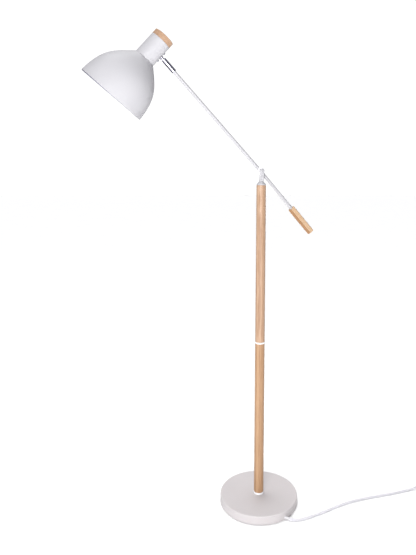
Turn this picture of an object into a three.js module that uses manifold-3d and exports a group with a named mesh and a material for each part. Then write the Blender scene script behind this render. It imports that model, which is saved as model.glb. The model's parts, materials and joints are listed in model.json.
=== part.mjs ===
// Adjustable arm floor lamp: round weighted base, two-piece wooden pole, tilting arm with a wooden
// grip, ball joint and dome shade. Millimetres, +Z up, origin at the centre of the base's underside.
// The arm lies in the XZ plane at rest and carries the lamp head towards -X.
import * as THREE from "three";
import { mergeVertices } from "three/addons/utils/BufferGeometryUtils.js";
import Module from "manifold-3d";

const wasm = await Module();
wasm.setup();

// ---------------------------------------------------------------- driving dimensions
const gap = 0.3; // air left between pieces that touch
const slide = 0.4; // radial clearance of a piece that turns or slides in another

const baseRadius = 120;
const baseEdgeRadius = 3;
const baseSheet = 1.2;
const padThickness = 2;
const padInset = 5;
const weightThickness = 18;
const weightInset = 5;
const weightHeadroom = 3; // air between the weight and the cover
const baseHeight = padThickness + gap + weightThickness + weightHeadroom + baseSheet;
const recessRadius = 20;
const recessDepth = 12;
const leadGroove = 8;

const rodRadius = 5;
const rodWall = 1.6;
const rodPlay = 0.6; // radial clearance of the rods in the staves
const couplerWall = 2.2;
const couplerRadius = rodRadius + gap + couplerWall;
const couplerLength = 40;
const rodWasherRadius = rodRadius + 6;
const rodWasherThickness = 1.5;
const rodNutRadius = rodRadius + 4.2; // across the corners
const rodNutHeight = 5;
const poleRadius = 15;
const poleBoreRadius = rodRadius + rodPlay;
const lowerPoleLength = 463;
const upperPoleLength = 491.5;
const ringProud = 0.3; // how far the rings stand out of the pole
const footHeight = 5;
const footRadius = poleRadius + 0.8;
const midRingHeight = 4.6;
const midRingRadius = poleRadius + ringProud;
const counterboreWall = 2.2;
const counterboreRadius = poleRadius - counterboreWall;
const counterboreDepth = 20;

const capRimHeight = 1.6;
const capHeight = 11;
const capRadius = poleRadius + ringProud;
const capWall = 2;
const stemRadius = 7;
const stemBoreRadius = 2.4;
const spigotRadius = 5;
const stemNeckHeight = 5;
const pivotRise = 33; // from the cap's top to the pivot
const lugThickness = 6;
const eyeRadius = 7.5;

const armPlane = 7.5; // the arm's centre line runs this far behind the pole's
const armAngle = 46.7; // degrees above the horizontal
const lowerArmBend = 1.6; // degrees by which the lower tube is steeper
const tubeRadius = 5.25;
const tubeWall = 1;
const hubRadius = 12;
const hubWall = 0.95; // least metal beside the tubes' sockets
const hubHalf = tubeRadius + gap + hubWall;
const hubSocketStart = 6.8;
const boltRadius = 4;
const boltHeadRadius = 5.4;
const boltHeadHeight = 3.2;
const washerThickness = 0.8;
const sleeveStart = 404.5;
const sleeveLength = 48;
const sleeveWall = 1.95;
const sleeveRadius = tubeRadius + gap + sleeveWall;
const sleeveOverlap = 20;
const ballDepth = 6.5; // from the sleeve's mouth to the ball's centre
const ballRadius = 5.5;
const neckRadius = 3.7;
const gripStart = 158.5;
const gripLength = 103;
const gripCornerRadius = 12.1;
const gripTurn = 5.9; // degrees that the grip's front face is turned upwards
const gripBoreDepth = 62;
const gripChamfer = 1;

const studTilt = 6.3; // degrees between the arm and the ball stud at rest
const headTurn = 8.7; // degrees that the head is turned about its stud at rest
const cupRadius = 33;
const cupFaceDistance = 15.4; // from the ball's centre to the cup's side
const cupWall = 1.2;
const cupBelowNeck = 35;
const cupAboveNeck = 36;
const capDiscHeight = 17.2;
const capDiscFillet = 2.5;
const capSpigotDepth = 6;
const bracketInset = 5;
const bracketThickness = 2;
const bracketHalfHeight = 20;
const bracketHalfWidth = 8;
const screwSpacing = 28;
const screwRadius = 1.9;
const screwHeadRadius = 4;
const screwHeadHeight = 2.4;
const studNutHeight = 4;
const studNutRadius = 6.5;
const studSpare = 1.7; // thread left over beyond the inner nut

const shadeRimRadius = 109.5;
const shadeDepth = 146;
const shadeSheet = 1;
const nippleRadius = 5;
const holderRadius = 20;
const holderWall = 1.4;
const holderCapHeight = 19.5;
const holderBodyHeight = 36;
const bulbRadius = 30;
const bulbLength = 80;
const bulbCapRadius = 13;

const cordRadius = 3.25;
const floorLift = 0.3; // the cord's own lowest point above the floor
const outletAzimuth = -68;
const outletHeading = -42;
const outletHeight = 6.3;
const outletNotchWidth = 13;
const reliefOutside = 12;
const reliefInside = 20;
const reliefRadius = 5.1;
const reliefTipRadius = 3.9;
const switchStart = 523;
const switchLength = 65;
const switchWidth = 27;
const switchHeight = 17;
const switchWall = 2;
const coilPitch = 6.5;
const coilTurnsAcross = 3;
const coilLayers = 2;
const coilMiddleRadius = 34.75;
const plugLength = 38;
const plugWidth = 25;
const plugHeight = 13.7;
const pinLength = 19;
const pinRadius = 2;
const pinSpacing = 18.6;

// ---------------------------------------------------------------- materials
const finish = (color, roughness, metalness = 0) =>
  new THREE.MeshStandardMaterial({ color, roughness, metalness });
const whitePaint = finish(0xf4f3f1, 0.45);
const greyPaint = finish(0xe3dfde, 0.5);
const ash = finish(0xe0bc94, 0.6);
const ashDark = finish(0xcf9f6c, 0.6);
const chrome = finish(0xc9ccd2, 0.15, 1);
const steel = finish(0x8f9299, 0.35, 1);
const iron = finish(0x4a4b4d, 0.75, 0.6);
const felt = finish(0x3a3a3c, 0.95);
const whitePlastic = finish(0xf2f2f0, 0.5);
const brass = finish(0xc9a44e, 0.3, 1);
const ceramic = finish(0xece6da, 0.4);
const opalGlass = finish(0xfaf8f2, 0.2);

// ---------------------------------------------------------------- shape helpers
const degrees = THREE.MathUtils.degToRad;

// A closed surface as a manifold-3d solid.
function solid(geometry) {
  const bare = geometry.index ? geometry.toNonIndexed() : geometry.clone();
  for (const name of Object.keys(bare.attributes)) {
    if (name !== "position") bare.deleteAttribute(name);
  }
  const merged = mergeVertices(bare, 1e-3);
  return new wasm.Manifold(
    new wasm.Mesh({
      numProp: 3,
      vertProperties: merged.attributes.position.array,
      triVerts: new Uint32Array(merged.index.array),
    }),
  );
}

function geometryOf(manifold) {
  const mesh = manifold.getMesh();
  const positions = new Float32Array(mesh.numVert * 3);
  for (let i = 0; i < mesh.numVert; i++) {
    positions.set(mesh.vertProperties.subarray(i * mesh.numProp, i * mesh.numProp + 3), i * 3);
  }
  const geometry = new THREE.BufferGeometry();
  geometry.setAttribute("position", new THREE.BufferAttribute(positions, 3));
  geometry.setIndex(new THREE.BufferAttribute(mesh.triVerts, 1));
  geometry.computeVertexNormals();
  return geometry;
}

const cut = (body, ...tools) =>
  geometryOf(tools.reduce((rest, tool) => rest.subtract(solid(tool)), solid(body)));
const join = (...pieces) =>
  geometryOf(pieces.slice(1).reduce((sum, piece) => sum.add(solid(piece)), solid(pieces[0])));
const common = (a, b) => geometryOf(solid(a).intersect(solid(b)));

// A turned shape about Z from [radius, height] points.
function turned(points, segments = 36) {
  const profile = points.map(([r, z]) => new THREE.Vector2(r, z));
  return new THREE.LatheGeometry(profile, segments).rotateX(Math.PI / 2);
}

const rod = (radius, low, high, segments = 24) =>
  turned([[0, low], [radius, low], [radius, high], [0, high]], segments);

const ring = (inner, outer, low, high, segments = 28) =>
  turned([[inner, low], [outer, low], [outer, high], [inner, high], [inner, low]], segments);

// The quarter circle of a rounded edge, from the side to the top.
const edgeArc = (cx, cz, radius, steps = 3) =>
  Array.from({ length: steps + 1 }, (_, i) => {
    const angle = (i / steps) * (Math.PI / 2);
    return [cx + radius * Math.cos(angle), cz + radius * Math.sin(angle)];
  });

function block(width, depth, height, x = 0, y = 0, z = 0) {
  return new THREE.BoxGeometry(width, depth, height).translate(x, y, z);
}

// A prism with the given number of sides and an optional round hole.
function prism(sides, cornerRadius, low, high, holeRadius = 0) {
  const shape = new THREE.Shape();
  for (let i = 0; i < sides; i++) {
    const angle = (i / sides) * 2 * Math.PI;
    const at = [cornerRadius * Math.cos(angle), cornerRadius * Math.sin(angle)];
    if (i === 0) shape.moveTo(...at);
    else shape.lineTo(...at);
  }
  if (holeRadius > 0) {
    shape.holes.push(new THREE.Path().absarc(0, 0, holeRadius, 0, 2 * Math.PI, true));
  }
  const options = { depth: high - low, bevelEnabled: false, curveSegments: 10 };
  return new THREE.ExtrudeGeometry(shape, options).translate(0, 0, low);
}

// A box with rounded upright corners, resting on z = low.
function roundedBlock(width, depth, low, high, corner) {
  const shape = new THREE.Shape();
  const x = width / 2 - corner;
  const y = depth / 2 - corner;
  shape.absarc(x, y, corner, 0, Math.PI / 2);
  shape.absarc(-x, y, corner, Math.PI / 2, Math.PI);
  shape.absarc(-x, -y, corner, Math.PI, 1.5 * Math.PI);
  shape.absarc(x, -y, corner, 1.5 * Math.PI, 2 * Math.PI);
  const options = { depth: high - low, bevelEnabled: false, curveSegments: 4 };
  return new THREE.ExtrudeGeometry(shape, options).translate(0, 0, low);
}

// A round cord along a smooth curve through the points.
function cordAlong(points, radius, sides, steps) {
  const curve = new THREE.CatmullRomCurve3(points.map((p) => new THREE.Vector3(...p)));
  const shape = new THREE.Shape();
  for (let i = 0; i < sides; i++) {
    const angle = (i / sides) * 2 * Math.PI;
    const at = [radius * Math.cos(angle), radius * Math.sin(angle)];
    if (i === 0) shape.moveTo(...at);
    else shape.lineTo(...at);
  }
  return new THREE.ExtrudeGeometry(shape, { steps, extrudePath: curve, bevelEnabled: false });
}

// Turns a shape made about Z so that its axis runs along +Y.
const alongY = (geometry) => geometry.rotateX(-Math.PI / 2);
// Turns a shape made about Z so that its axis runs along +X.
const alongX = (geometry) => geometry.rotateY(Math.PI / 2);

function place(parent, name, geometry, material) {
  const mesh = new THREE.Mesh(geometry, material.clone());
  mesh.name = name;
  parent.add(mesh);
  return mesh;
}

function frame(parent, x, y, z, turnY = 0, turnZ = 0) {
  const group = new THREE.Group();
  group.position.set(x, y, z);
  group.rotation.set(0, degrees(turnY), degrees(turnZ));
  parent.add(group);
  return group;
}

// ---------------------------------------------------------------- heights of the stand
const weightLow = padThickness + gap;
const weightHigh = weightLow + weightThickness;
const recessTop = weightLow + recessDepth;
const footLow = baseHeight + gap;
const footHigh = footLow + footHeight;
const lowerPoleLow = footHigh + gap;
const lowerPoleHigh = lowerPoleLow + lowerPoleLength;
const midRingLow = lowerPoleHigh + gap;
const midRingHigh = midRingLow + midRingHeight;
const upperPoleLow = midRingHigh + gap;
const upperPoleHigh = upperPoleLow + upperPoleLength;
const poleCapLow = upperPoleHigh + gap;
const poleCapTop = poleCapLow + capHeight;
const counterboreLow = upperPoleHigh - counterboreDepth;
const pivotHeight = poleCapTop + pivotRise;

const lamp = new THREE.Group();

// ---------------------------------------------------------------- base
function outletFrame(parent) {
  const azimuth = degrees(outletAzimuth);
  const group = new THREE.Group();
  group.position.set(baseRadius * Math.cos(azimuth), baseRadius * Math.sin(azimuth), outletHeight);
  group.rotation.z = degrees(outletHeading);
  parent.add(group);
  group.updateMatrixWorld(true);
  return group;
}

const outlet = outletFrame(lamp);

// The pocket round the cord's strain relief, open towards the floor.
function outletPocket(length) {
  const pocket = block(length, outletNotchWidth, 2 * outletHeight, 0, 0, 0);
  return pocket.applyMatrix4(outlet.matrixWorld);
}

function basePad() {
  const disc = rod(baseRadius - padInset, 0, padThickness, 60);
  return cut(disc, outletPocket(2 * reliefInside + 8));
}

function baseWeight() {
  const body = ring(poleBoreRadius, baseRadius - weightInset, weightLow, weightHigh, 60);
  const recess = rod(recessRadius, 0, recessTop);
  const groove = block(baseRadius, leadGroove, leadGroove, baseRadius / 2, 0, weightLow);
  groove.rotateZ(degrees(outletAzimuth));
  return cut(body, recess, groove, outletPocket(2 * reliefInside + 8));
}

function baseCover() {
  const outer = baseRadius;
  const inner = baseRadius - baseSheet;
  const arcOut = edgeArc(outer - baseEdgeRadius, baseHeight - baseEdgeRadius, baseEdgeRadius);
  const arcIn = edgeArc(
    outer - baseEdgeRadius,
    baseHeight - baseEdgeRadius,
    baseEdgeRadius - baseSheet,
  ).reverse();
  const low = 1;
  const points = [
    [inner, low],
    [outer, low],
    ...arcOut,
    [poleBoreRadius, baseHeight],
    [poleBoreRadius, baseHeight - baseSheet],
    ...arcIn,
    [inner, low],
  ];
  return cut(turned(points, 60), outletPocket(30));
}

place(lamp, "base_pad", basePad(), felt);
place(lamp, "base_weight", baseWeight(), iron);
place(lamp, "base_cover", baseCover(), greyPaint);

// ---------------------------------------------------------------- pole
const rodBore = rodRadius - rodWall;
const nutHole = rodRadius + gap;

const baseWasherLow = recessTop - gap - rodWasherThickness;
const baseNutHigh = baseWasherLow - gap;

place(
  lamp,
  "base_washer",
  ring(nutHole, rodWasherRadius, baseWasherLow, recessTop - gap, 24),
  steel,
);
place(
  lamp,
  "base_nut",
  prism(6, rodNutRadius, baseNutHigh - rodNutHeight, baseNutHigh, nutHole),
  steel,
);

function footCollar() {
  const arc = edgeArc(footRadius - 1, footHigh - 1, 1, 2);
  const points = [
    [poleBoreRadius, footLow],
    [footRadius, footLow],
    ...arc,
    [poleBoreRadius, footHigh],
    [poleBoreRadius, footLow],
  ];
  return turned(points);
}

place(lamp, "foot_collar", footCollar(), whitePaint);

// The lower stave has a counterbore at its top, the upper one at both ends.
function lowerPole() {
  const top = rod(couplerRadius + slide, lowerPoleHigh - couplerLength / 2, lowerPoleHigh + 1);
  return cut(ring(poleBoreRadius, poleRadius, lowerPoleLow, lowerPoleHigh, 32), top);
}

function upperPole() {
  const bottom = rod(couplerRadius + slide, upperPoleLow - 1, upperPoleLow + couplerLength / 2);
  const top = rod(counterboreRadius, counterboreLow, upperPoleHigh + 1);
  return cut(ring(poleBoreRadius, poleRadius, upperPoleLow, upperPoleHigh, 32), bottom, top);
}

const couplerMiddle = (midRingLow + midRingHigh) / 2;
const couplerHalf = couplerLength / 2 - 1;
place(lamp, "lower_pole", lowerPole(), ash);
place(lamp, "upper_pole", upperPole(), ash);
place(
  lamp,
  "mid_ring",
  ring(couplerRadius + slide, midRingRadius, midRingLow, midRingHigh, 32),
  whitePaint,
);
place(
  lamp,
  "rod_coupler",
  ring(nutHole, couplerRadius, couplerMiddle - couplerHalf, couplerMiddle + couplerHalf, 20),
  steel,
);
place(lamp, "lower_rod", ring(rodBore, rodRadius, recessTop - 8, couplerMiddle - gap, 20), steel);

const upperRodTop = counterboreLow + 8;
place(lamp, "upper_rod", ring(rodBore, rodRadius, couplerMiddle + gap, upperRodTop, 20), steel);
const rodWasherHigh = counterboreLow + gap + rodWasherThickness;
const rodNutLow = rodWasherHigh + gap;
place(
  lamp,
  "rod_washer",
  ring(nutHole, rodWasherRadius, counterboreLow + gap, rodWasherHigh, 24),
  steel,
);
place(
  lamp,
  "rod_nut",
  prism(6, rodNutRadius, rodNutLow, rodNutLow + rodNutHeight, nutHole),
  steel,
);

// A low cone that closes the pole, with a skirt in the counterbore and a bearing for the stem.
function poleCap() {
  const skirt = counterboreRadius - gap;
  const points = [
    [spigotRadius + slide, poleCapTop],
    [spigotRadius + slide, poleCapTop - 8],
    [skirt - capWall, poleCapTop - 8],
    [skirt - capWall, poleCapLow - 9],
    [skirt, poleCapLow - 9],
    [skirt, poleCapLow],
    [capRadius, poleCapLow],
    [capRadius, poleCapLow + capRimHeight],
    [stemRadius + 0.8, poleCapTop],
    [spigotRadius + slide, poleCapTop],
  ];
  return turned(points);
}

place(lamp, "pole_cap", poleCap(), whitePaint);

// The supply lead runs under the weight and up the hollow rods.
const leadRadius = 1.5;
const leadEntry = 32; // from the base's edge to the lead's outer end
function standLead() {
  const azimuth = degrees(outletAzimuth);
  const at = (r, z) => [r * Math.cos(azimuth), r * Math.sin(azimuth), z];
  const z = padThickness + gap + leadRadius + 0.1;
  const bend = [
    at(baseRadius - leadEntry, z),
    at(50, z),
    at(20, z),
    at(6, z),
    at(2, z + 0.6),
    at(0.3, z + 3),
    [0, 0, 14],
  ];
  const riser = rod(leadRadius, 12, upperRodTop - 2, 8);
  return join(cordAlong(bend, leadRadius, 8, 60), riser);
}

place(lamp, "stand_lead", standLead(), whitePlastic);

// ---------------------------------------------------------------- swivel stem
// The pivot stack runs from the lug in front to the nut behind.
const hubFront = armPlane - hubHalf;
const hubBack = armPlane + hubHalf;
const frontWasherBack = hubFront - gap;
const lugBack = frontWasherBack - washerThickness - gap;
const lugFront = lugBack - lugThickness;
const rearWasherFront = hubBack + gap;
const pivotNutFront = rearWasherFront + washerThickness + gap;
const pivotNutBack = pivotNutFront + 5;

function swivelStem() {
  const shoulder = poleCapTop + gap;
  const neckTop = shoulder + stemNeckHeight;
  const spigotLow = poleCapTop - 17;
  const post = turned([
    [stemBoreRadius, spigotLow],
    [spigotRadius, spigotLow],
    [spigotRadius, shoulder],
    [stemRadius, shoulder],
    [stemRadius, pivotHeight - 14],
    [stemBoreRadius, pivotHeight - 14],
    [stemBoreRadius, spigotLow],
  ]);
  const eye = alongY(rod(eyeRadius, 0, lugThickness, 32)).translate(0, lugFront, pivotHeight);
  const webHeight = pivotHeight - neckTop;
  const web = block(
    2 * stemRadius,
    lugThickness,
    webHeight,
    0,
    lugFront + lugThickness / 2,
    neckTop + webHeight / 2,
  );
  const behind = block(60, 40, 80, 0, lugBack + 20, neckTop + 40);
  const before = block(60, 20, 40, 0, lugFront - 10, pivotHeight + 6);
  const boltHole = alongY(rod(boltRadius + slide, -20, 20)).translate(0, 0, pivotHeight);
  return cut(join(post, eye, web), behind, before, boltHole);
}

place(lamp, "swivel_stem", swivelStem(), whitePaint);
place(
  lamp,
  "stem_locknut",
  prism(6, 8.6, poleCapTop - 15, poleCapTop - 8 - slide, spigotRadius + gap),
  steel,
);

const pivotStack = frame(lamp, 0, 0, pivotHeight);

function pivotBolt() {
  const headBack = lugFront - gap;
  const headFront = headBack - boltHeadHeight;
  const shankEnd = pivotNutBack - 1;
  const dome = edgeArc(boltHeadRadius - 1.4, 0, 1.4, 4).map(([r, z]) => [r, headFront + 1.4 - z]);
  const points = [
    [0, headFront],
    ...dome.reverse(),
    [boltHeadRadius, headBack],
    [boltRadius, headBack],
    [boltRadius, shankEnd],
    [0, shankEnd],
  ];
  return alongY(turned(points, 24));
}

place(pivotStack, "pivot_bolt", pivotBolt(), whitePaint);
for (const [name, front] of [
  ["front_washer", lugBack + gap],
  ["rear_washer", rearWasherFront],
]) {
  const washer = ring(boltRadius + gap, 8, front, front + washerThickness, 24);
  place(pivotStack, name, alongY(washer), whitePlastic);
}
place(
  pivotStack,
  "pivot_nut",
  alongY(prism(6, 7.5, pivotNutFront, pivotNutBack, boltRadius + gap)),
  chrome,
);

// ---------------------------------------------------------------- arm
const arm = frame(lamp, 0, armPlane, pivotHeight, armAngle - 90);
const lowerArm = frame(arm, 0, 0, 0, lowerArmBend);
const ballAt = sleeveStart + sleeveLength - ballDepth;

function pivotHub() {
  const body = alongY(rod(hubRadius, -hubHalf, hubHalf, 32));
  const boltHole = alongY(rod(boltRadius + slide, -20, 20));
  const upperSocket = rod(tubeRadius + gap, hubSocketStart, 3 * hubRadius);
  const lowerSocket = rod(tubeRadius + gap, -3 * hubRadius, -hubSocketStart);
  lowerSocket.rotateY(degrees(lowerArmBend));
  const leadWay = rod(1.9, -hubRadius, hubRadius, 16);
  return cut(body, boltHole, upperSocket, lowerSocket, leadWay);
}

place(arm, "pivot_hub", pivotHub(), whitePaint);

const armTube = (low, high) => ring(tubeRadius - tubeWall, tubeRadius, low, high, 20);
place(
  arm,
  "upper_arm_tube",
  armTube(hubSocketStart + gap, sleeveStart + sleeveOverlap),
  whitePaint,
);
place(
  lowerArm,
  "lower_arm_tube",
  armTube(-gripStart - gripBoreDepth + 2, -hubSocketStart - gap),
  whitePaint,
);

// A hexagonal wooden bar with chamfered ends, bored for the tube.
function grip() {
  const high = -gripStart;
  const low = high - gripLength;
  const bar = prism(6, gripCornerRadius, low, high);
  bar.rotateZ(degrees(gripTurn));
  const flats = gripCornerRadius * Math.cos(Math.PI / 6);
  const waist = turned(
    [
      [0, low],
      [flats, low],
      [gripCornerRadius + 1, low + gripChamfer + 1],
      [gripCornerRadius + 1, high - gripChamfer - 1],
      [flats, high],
      [0, high],
    ],
    36,
  );
  return cut(common(bar, waist), rod(tubeRadius + gap, high - gripBoreDepth, high + 5));
}

place(lowerArm, "grip", grip(), ashDark);
place(arm, "arm_lead", rod(leadRadius, 16, sleeveStart + sleeveOverlap + 4, 8), whitePlastic);

// ---------------------------------------------------------------- ball joint
const knuckle = frame(arm, 0, 0, ballAt);

function ballSleeve() {
  const mouth = ballDepth;
  const foot = mouth - sleeveLength;
  const body = turned([
    [0, foot],
    [sleeveRadius - 0.6, foot],
    [sleeveRadius, foot + 0.6],
    [sleeveRadius, mouth - 0.6],
    [sleeveRadius - 0.6, mouth],
    [0, mouth],
  ]);
  const tubeBore = rod(tubeRadius + gap, foot - 1, foot + sleeveOverlap + gap);
  const leadWay = rod(2.6, foot, 0, 20);
  const cavity = new THREE.SphereGeometry(ballRadius + gap, 20, 12);
  const mouthWay = rod(neckRadius + slide, 0, mouth + 2, 24);
  const slot = block(60, 2 * (neckRadius + slide), mouth + 10, 0, 0, (mouth + 10) / 2 - 0.2);
  return cut(body, tubeBore, leadWay, cavity, mouthWay, slot);
}

place(knuckle, "ball_sleeve", ballSleeve(), chrome);

const stud = frame(knuckle, 0, 0, 0, -studTilt);
const cupAxisDistance = cupFaceDistance + cupRadius;
const bracketFace = cupRadius - bracketInset;
const bracketBack = bracketFace - bracketThickness;
const lockNutLow = cupAxisDistance - bracketBack + gap;
const studEnd = lockNutLow + studNutHeight + studSpare;

function ballStud() {
  const ball = new THREE.SphereGeometry(ballRadius, 20, 12);
  const shank = rod(neckRadius, 0, studEnd, 20);
  return cut(join(ball, shank), rod(1.8, -ballRadius - 1, studEnd + 1, 12));
}

place(stud, "ball_stud", ballStud(), chrome);
place(
  stud,
  "stud_nut",
  prism(
    6,
    studNutRadius,
    cupFaceDistance - gap - studNutHeight,
    cupFaceDistance - gap,
    neckRadius + gap,
  ),
  steel,
);

// ---------------------------------------------------------------- lamp head
const turnedHead = frame(stud, 0, 0, 0, 0, -headTurn);
const head = frame(turnedHead, 0, 0, cupAxisDistance, 90);

place(
  stud,
  "stud_locknut",
  prism(6, studNutRadius, lockNutLow, lockNutLow + studNutHeight, neckRadius + gap),
  steel,
);

const crossHole = (radius, z) => alongX(rod(radius, 0, 2 * cupRadius, 20)).translate(0, 0, z);
const screwHeights = [screwSpacing / 2, -screwSpacing / 2];

function cup() {
  const bottom = -cupBelowNeck;
  const shell = turned(
    [
      [nippleRadius + slide, bottom],
      [cupRadius, bottom],
      [cupRadius, cupAboveNeck],
      [cupRadius - cupWall, cupAboveNeck],
      [cupRadius - cupWall, bottom + cupWall],
      [nippleRadius + slide, bottom + cupWall],
      [nippleRadius + slide, bottom],
    ],
    48,
  );
  const holes = screwHeights.map((z) => crossHole(screwRadius + slide, z));
  return cut(shell, crossHole(neckRadius + slide, 0), ...holes);
}

function cupBracket() {
  const plate = block(
    bracketThickness,
    2 * bracketHalfWidth,
    2 * bracketHalfHeight,
    bracketFace - bracketThickness / 2,
    0,
    0,
  );
  const holes = screwHeights.map((z) => crossHole(screwRadius + gap, z));
  return cut(plate, crossHole(neckRadius + slide, 0), ...holes);
}

function capDisc() {
  const low = cupAboveNeck + gap;
  const high = low + capDiscHeight;
  const arc = edgeArc(cupRadius - capDiscFillet, high - capDiscFillet, capDiscFillet);
  const points = [
    [0, low - capSpigotDepth],
    [cupRadius - cupWall - gap, low - capSpigotDepth],
    [cupRadius - cupWall - gap, low],
    [cupRadius, low],
    ...arc,
    [0, high],
  ];
  return turned(points, 48);
}

place(head, "cup", cup(), whitePaint);
place(head, "cup_bracket", cupBracket(), steel);
place(head, "cap_disc", capDisc(), ash);

function domeScrew() {
  const headLow = cupRadius + gap;
  const steps = 4;
  const dome = Array.from({ length: steps + 1 }, (_, i) => {
    const angle = (i / steps) * (Math.PI / 2);
    const reach = screwHeadHeight * Math.sin(angle);
    return [screwHeadRadius * Math.cos(angle), headLow + reach];
  });
  const points = [
    [0, bracketBack - 3],
    [screwRadius, bracketBack - 3],
    [screwRadius, headLow],
    ...dome.slice(0, steps),
    [0, headLow + screwHeadHeight],
  ];
  return alongX(turned(points, 16));
}

screwHeights.forEach((z, i) => {
  place(head, "cup_screw_" + (i + 1), domeScrew().translate(0, 0, z), steel);
});

// The dome's outside, from the rim up to the cup, as one smooth cubic.
const shadeTop = -cupBelowNeck - gap;
const shadeRim = shadeTop - shadeDepth;
const wallLean = degrees(4.4);
const shoulderSlope = degrees(42.5);
const wallReach = 0.55 * shadeDepth;
const shoulderReach = 0.49 * shadeDepth;
const domeCurve = new THREE.CubicBezierCurve(
  new THREE.Vector2(shadeRimRadius, shadeRim),
  new THREE.Vector2(
    shadeRimRadius - wallReach * Math.sin(wallLean),
    shadeRim + wallReach * Math.cos(wallLean),
  ),
  new THREE.Vector2(
    cupRadius + shoulderReach * Math.cos(shoulderSlope),
    shadeTop - shoulderReach * Math.sin(shoulderSlope),
  ),
  new THREE.Vector2(cupRadius, shadeTop),
);

function domePoint(t, inset) {
  const at = domeCurve.getPoint(t);
  const along = domeCurve.getTangent(t);
  return [at.x - inset * along.y, at.y + inset * along.x];
}

function shade() {
  const steps = 14;
  const outside = [];
  const inside = [];
  for (let i = 0; i <= steps; i++) {
    outside.push(domePoint(i / steps, 0));
    if (i < steps) inside.unshift(domePoint(i / steps, shadeSheet));
  }
  const hole = nippleRadius + slide;
  const points = [
    ...outside,
    [hole, shadeTop],
    [hole, shadeTop - shadeSheet],
    [cupRadius - 2, shadeTop - shadeSheet],
    ...inside,
    outside[0],
  ];
  return turned(points, 56);
}

place(head, "shade", shade(), whitePaint);

// ---------------------------------------------------------------- lampholder and bulb
const holderTop = shadeTop - shadeSheet - gap;
const holderJoint = holderTop - holderCapHeight;
const holderLow = holderJoint - gap - holderBodyHeight;

function holderCap() {
  const hole = nippleRadius + gap;
  const shoulder = holderTop - 7;
  const inner = holderRadius - holderWall;
  return turned([
    [hole, holderTop],
    [hole, holderTop - holderWall],
    [inner - 6, holderTop - holderWall],
    [inner, shoulder - holderWall],
    [inner, holderJoint],
    [holderRadius, holderJoint],
    [holderRadius, shoulder],
    [inner - 5, holderTop],
    [hole, holderTop],
  ]);
}

place(
  head,
  "holder_nipple",
  ring(nippleRadius - 1.5, nippleRadius, holderTop - 10, -cupBelowNeck + cupWall + 8, 24),
  steel,
);
place(
  head,
  "holder_nut",
  prism(
    6,
    8.5,
    -cupBelowNeck + cupWall + gap,
    -cupBelowNeck + cupWall + gap + 4,
    nippleRadius + gap,
  ),
  steel,
);
place(head, "holder_cap", holderCap(), whitePlastic);
place(
  head,
  "holder_body",
  ring(holderRadius - holderWall, holderRadius, holderLow, holderJoint - gap, 36),
  whitePlastic,
);

const insertHigh = holderJoint + 2;
const insertLow = insertHigh - 8;
place(
  head,
  "holder_insert",
  ring(3, holderRadius - holderWall - gap, insertLow, insertHigh, 32),
  ceramic,
);
place(
  head,
  "screw_shell",
  ring(bulbCapRadius + slide, bulbCapRadius + slide + 0.6, holderLow + 6, insertLow - gap, 32),
  brass,
);
place(head, "centre_contact", rod(2.4, insertLow - 2.5, insertLow + 4, 16), brass);

const bulbCapTop = insertLow - 2.5 - gap;
const bulbCapLow = bulbCapTop - 26;
function bulbCap() {
  const points = [
    [0, bulbCapTop],
    [0, bulbCapLow],
    [bulbCapRadius, bulbCapLow],
    [bulbCapRadius, bulbCapTop - 4],
    [bulbCapRadius - 4.5, bulbCapTop],
    [0, bulbCapTop],
  ].slice(1);
  return turned(points, 32);
}

// An opal globe on a neck, as thin glass that is open at the neck.
function bulbGlass() {
  const neckTop = bulbCapLow - gap;
  const centre = neckTop - bulbLength + bulbRadius;
  const shell = (radius, inset) => {
    const steps = 10;
    const start = Math.acos((bulbCapRadius - inset) / radius);
    return Array.from({ length: steps + 1 }, (_, i) => {
      const angle = start + (i / steps) * (-Math.PI / 2 - start);
      return [Math.max(0, radius * Math.cos(angle)), centre + radius * Math.sin(angle)];
    });
  };
  const outside = shell(bulbRadius, 0.8).reverse();
  const inside = shell(bulbRadius - 1, 1.8);
  return turned(
    [
      ...outside,
      [bulbCapRadius - 0.8, neckTop],
      [bulbCapRadius - 1.8, neckTop],
      ...inside,
    ],
    30,
  );
}

place(head, "bulb_cap", bulbCap(), steel);
place(head, "bulb_glass", bulbGlass(), opalGlass);

function headLead() {
  const points = [
    [cupAxisDistance - studEnd - 2, 0, 0],
    [12, 0, -2],
    [5, 0, -8],
    [1, 0, -16],
    [0, 0, -24],
    [0, 0, holderTop - 14],
  ];
  return cordAlong(points, leadRadius, 8, 16);
}

place(head, "head_lead", headLead(), whitePlastic);

// ---------------------------------------------------------------- cord, switch and plug
// The strain relief is a moulded taper, flanged behind the cover's notch.
function strainRelief() {
  const profile = [
    [0, -reliefInside],
    [reliefRadius - 1, -reliefInside],
    [reliefRadius, -reliefInside + 1],
    [reliefRadius, 1],
    [reliefTipRadius, reliefOutside - 0.6],
    [reliefTipRadius - 0.6, reliefOutside],
    [0, reliefOutside],
  ];
  return alongX(turned(profile, 20));
}

place(outlet, "strain_relief", strainRelief(), whitePlastic);

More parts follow.
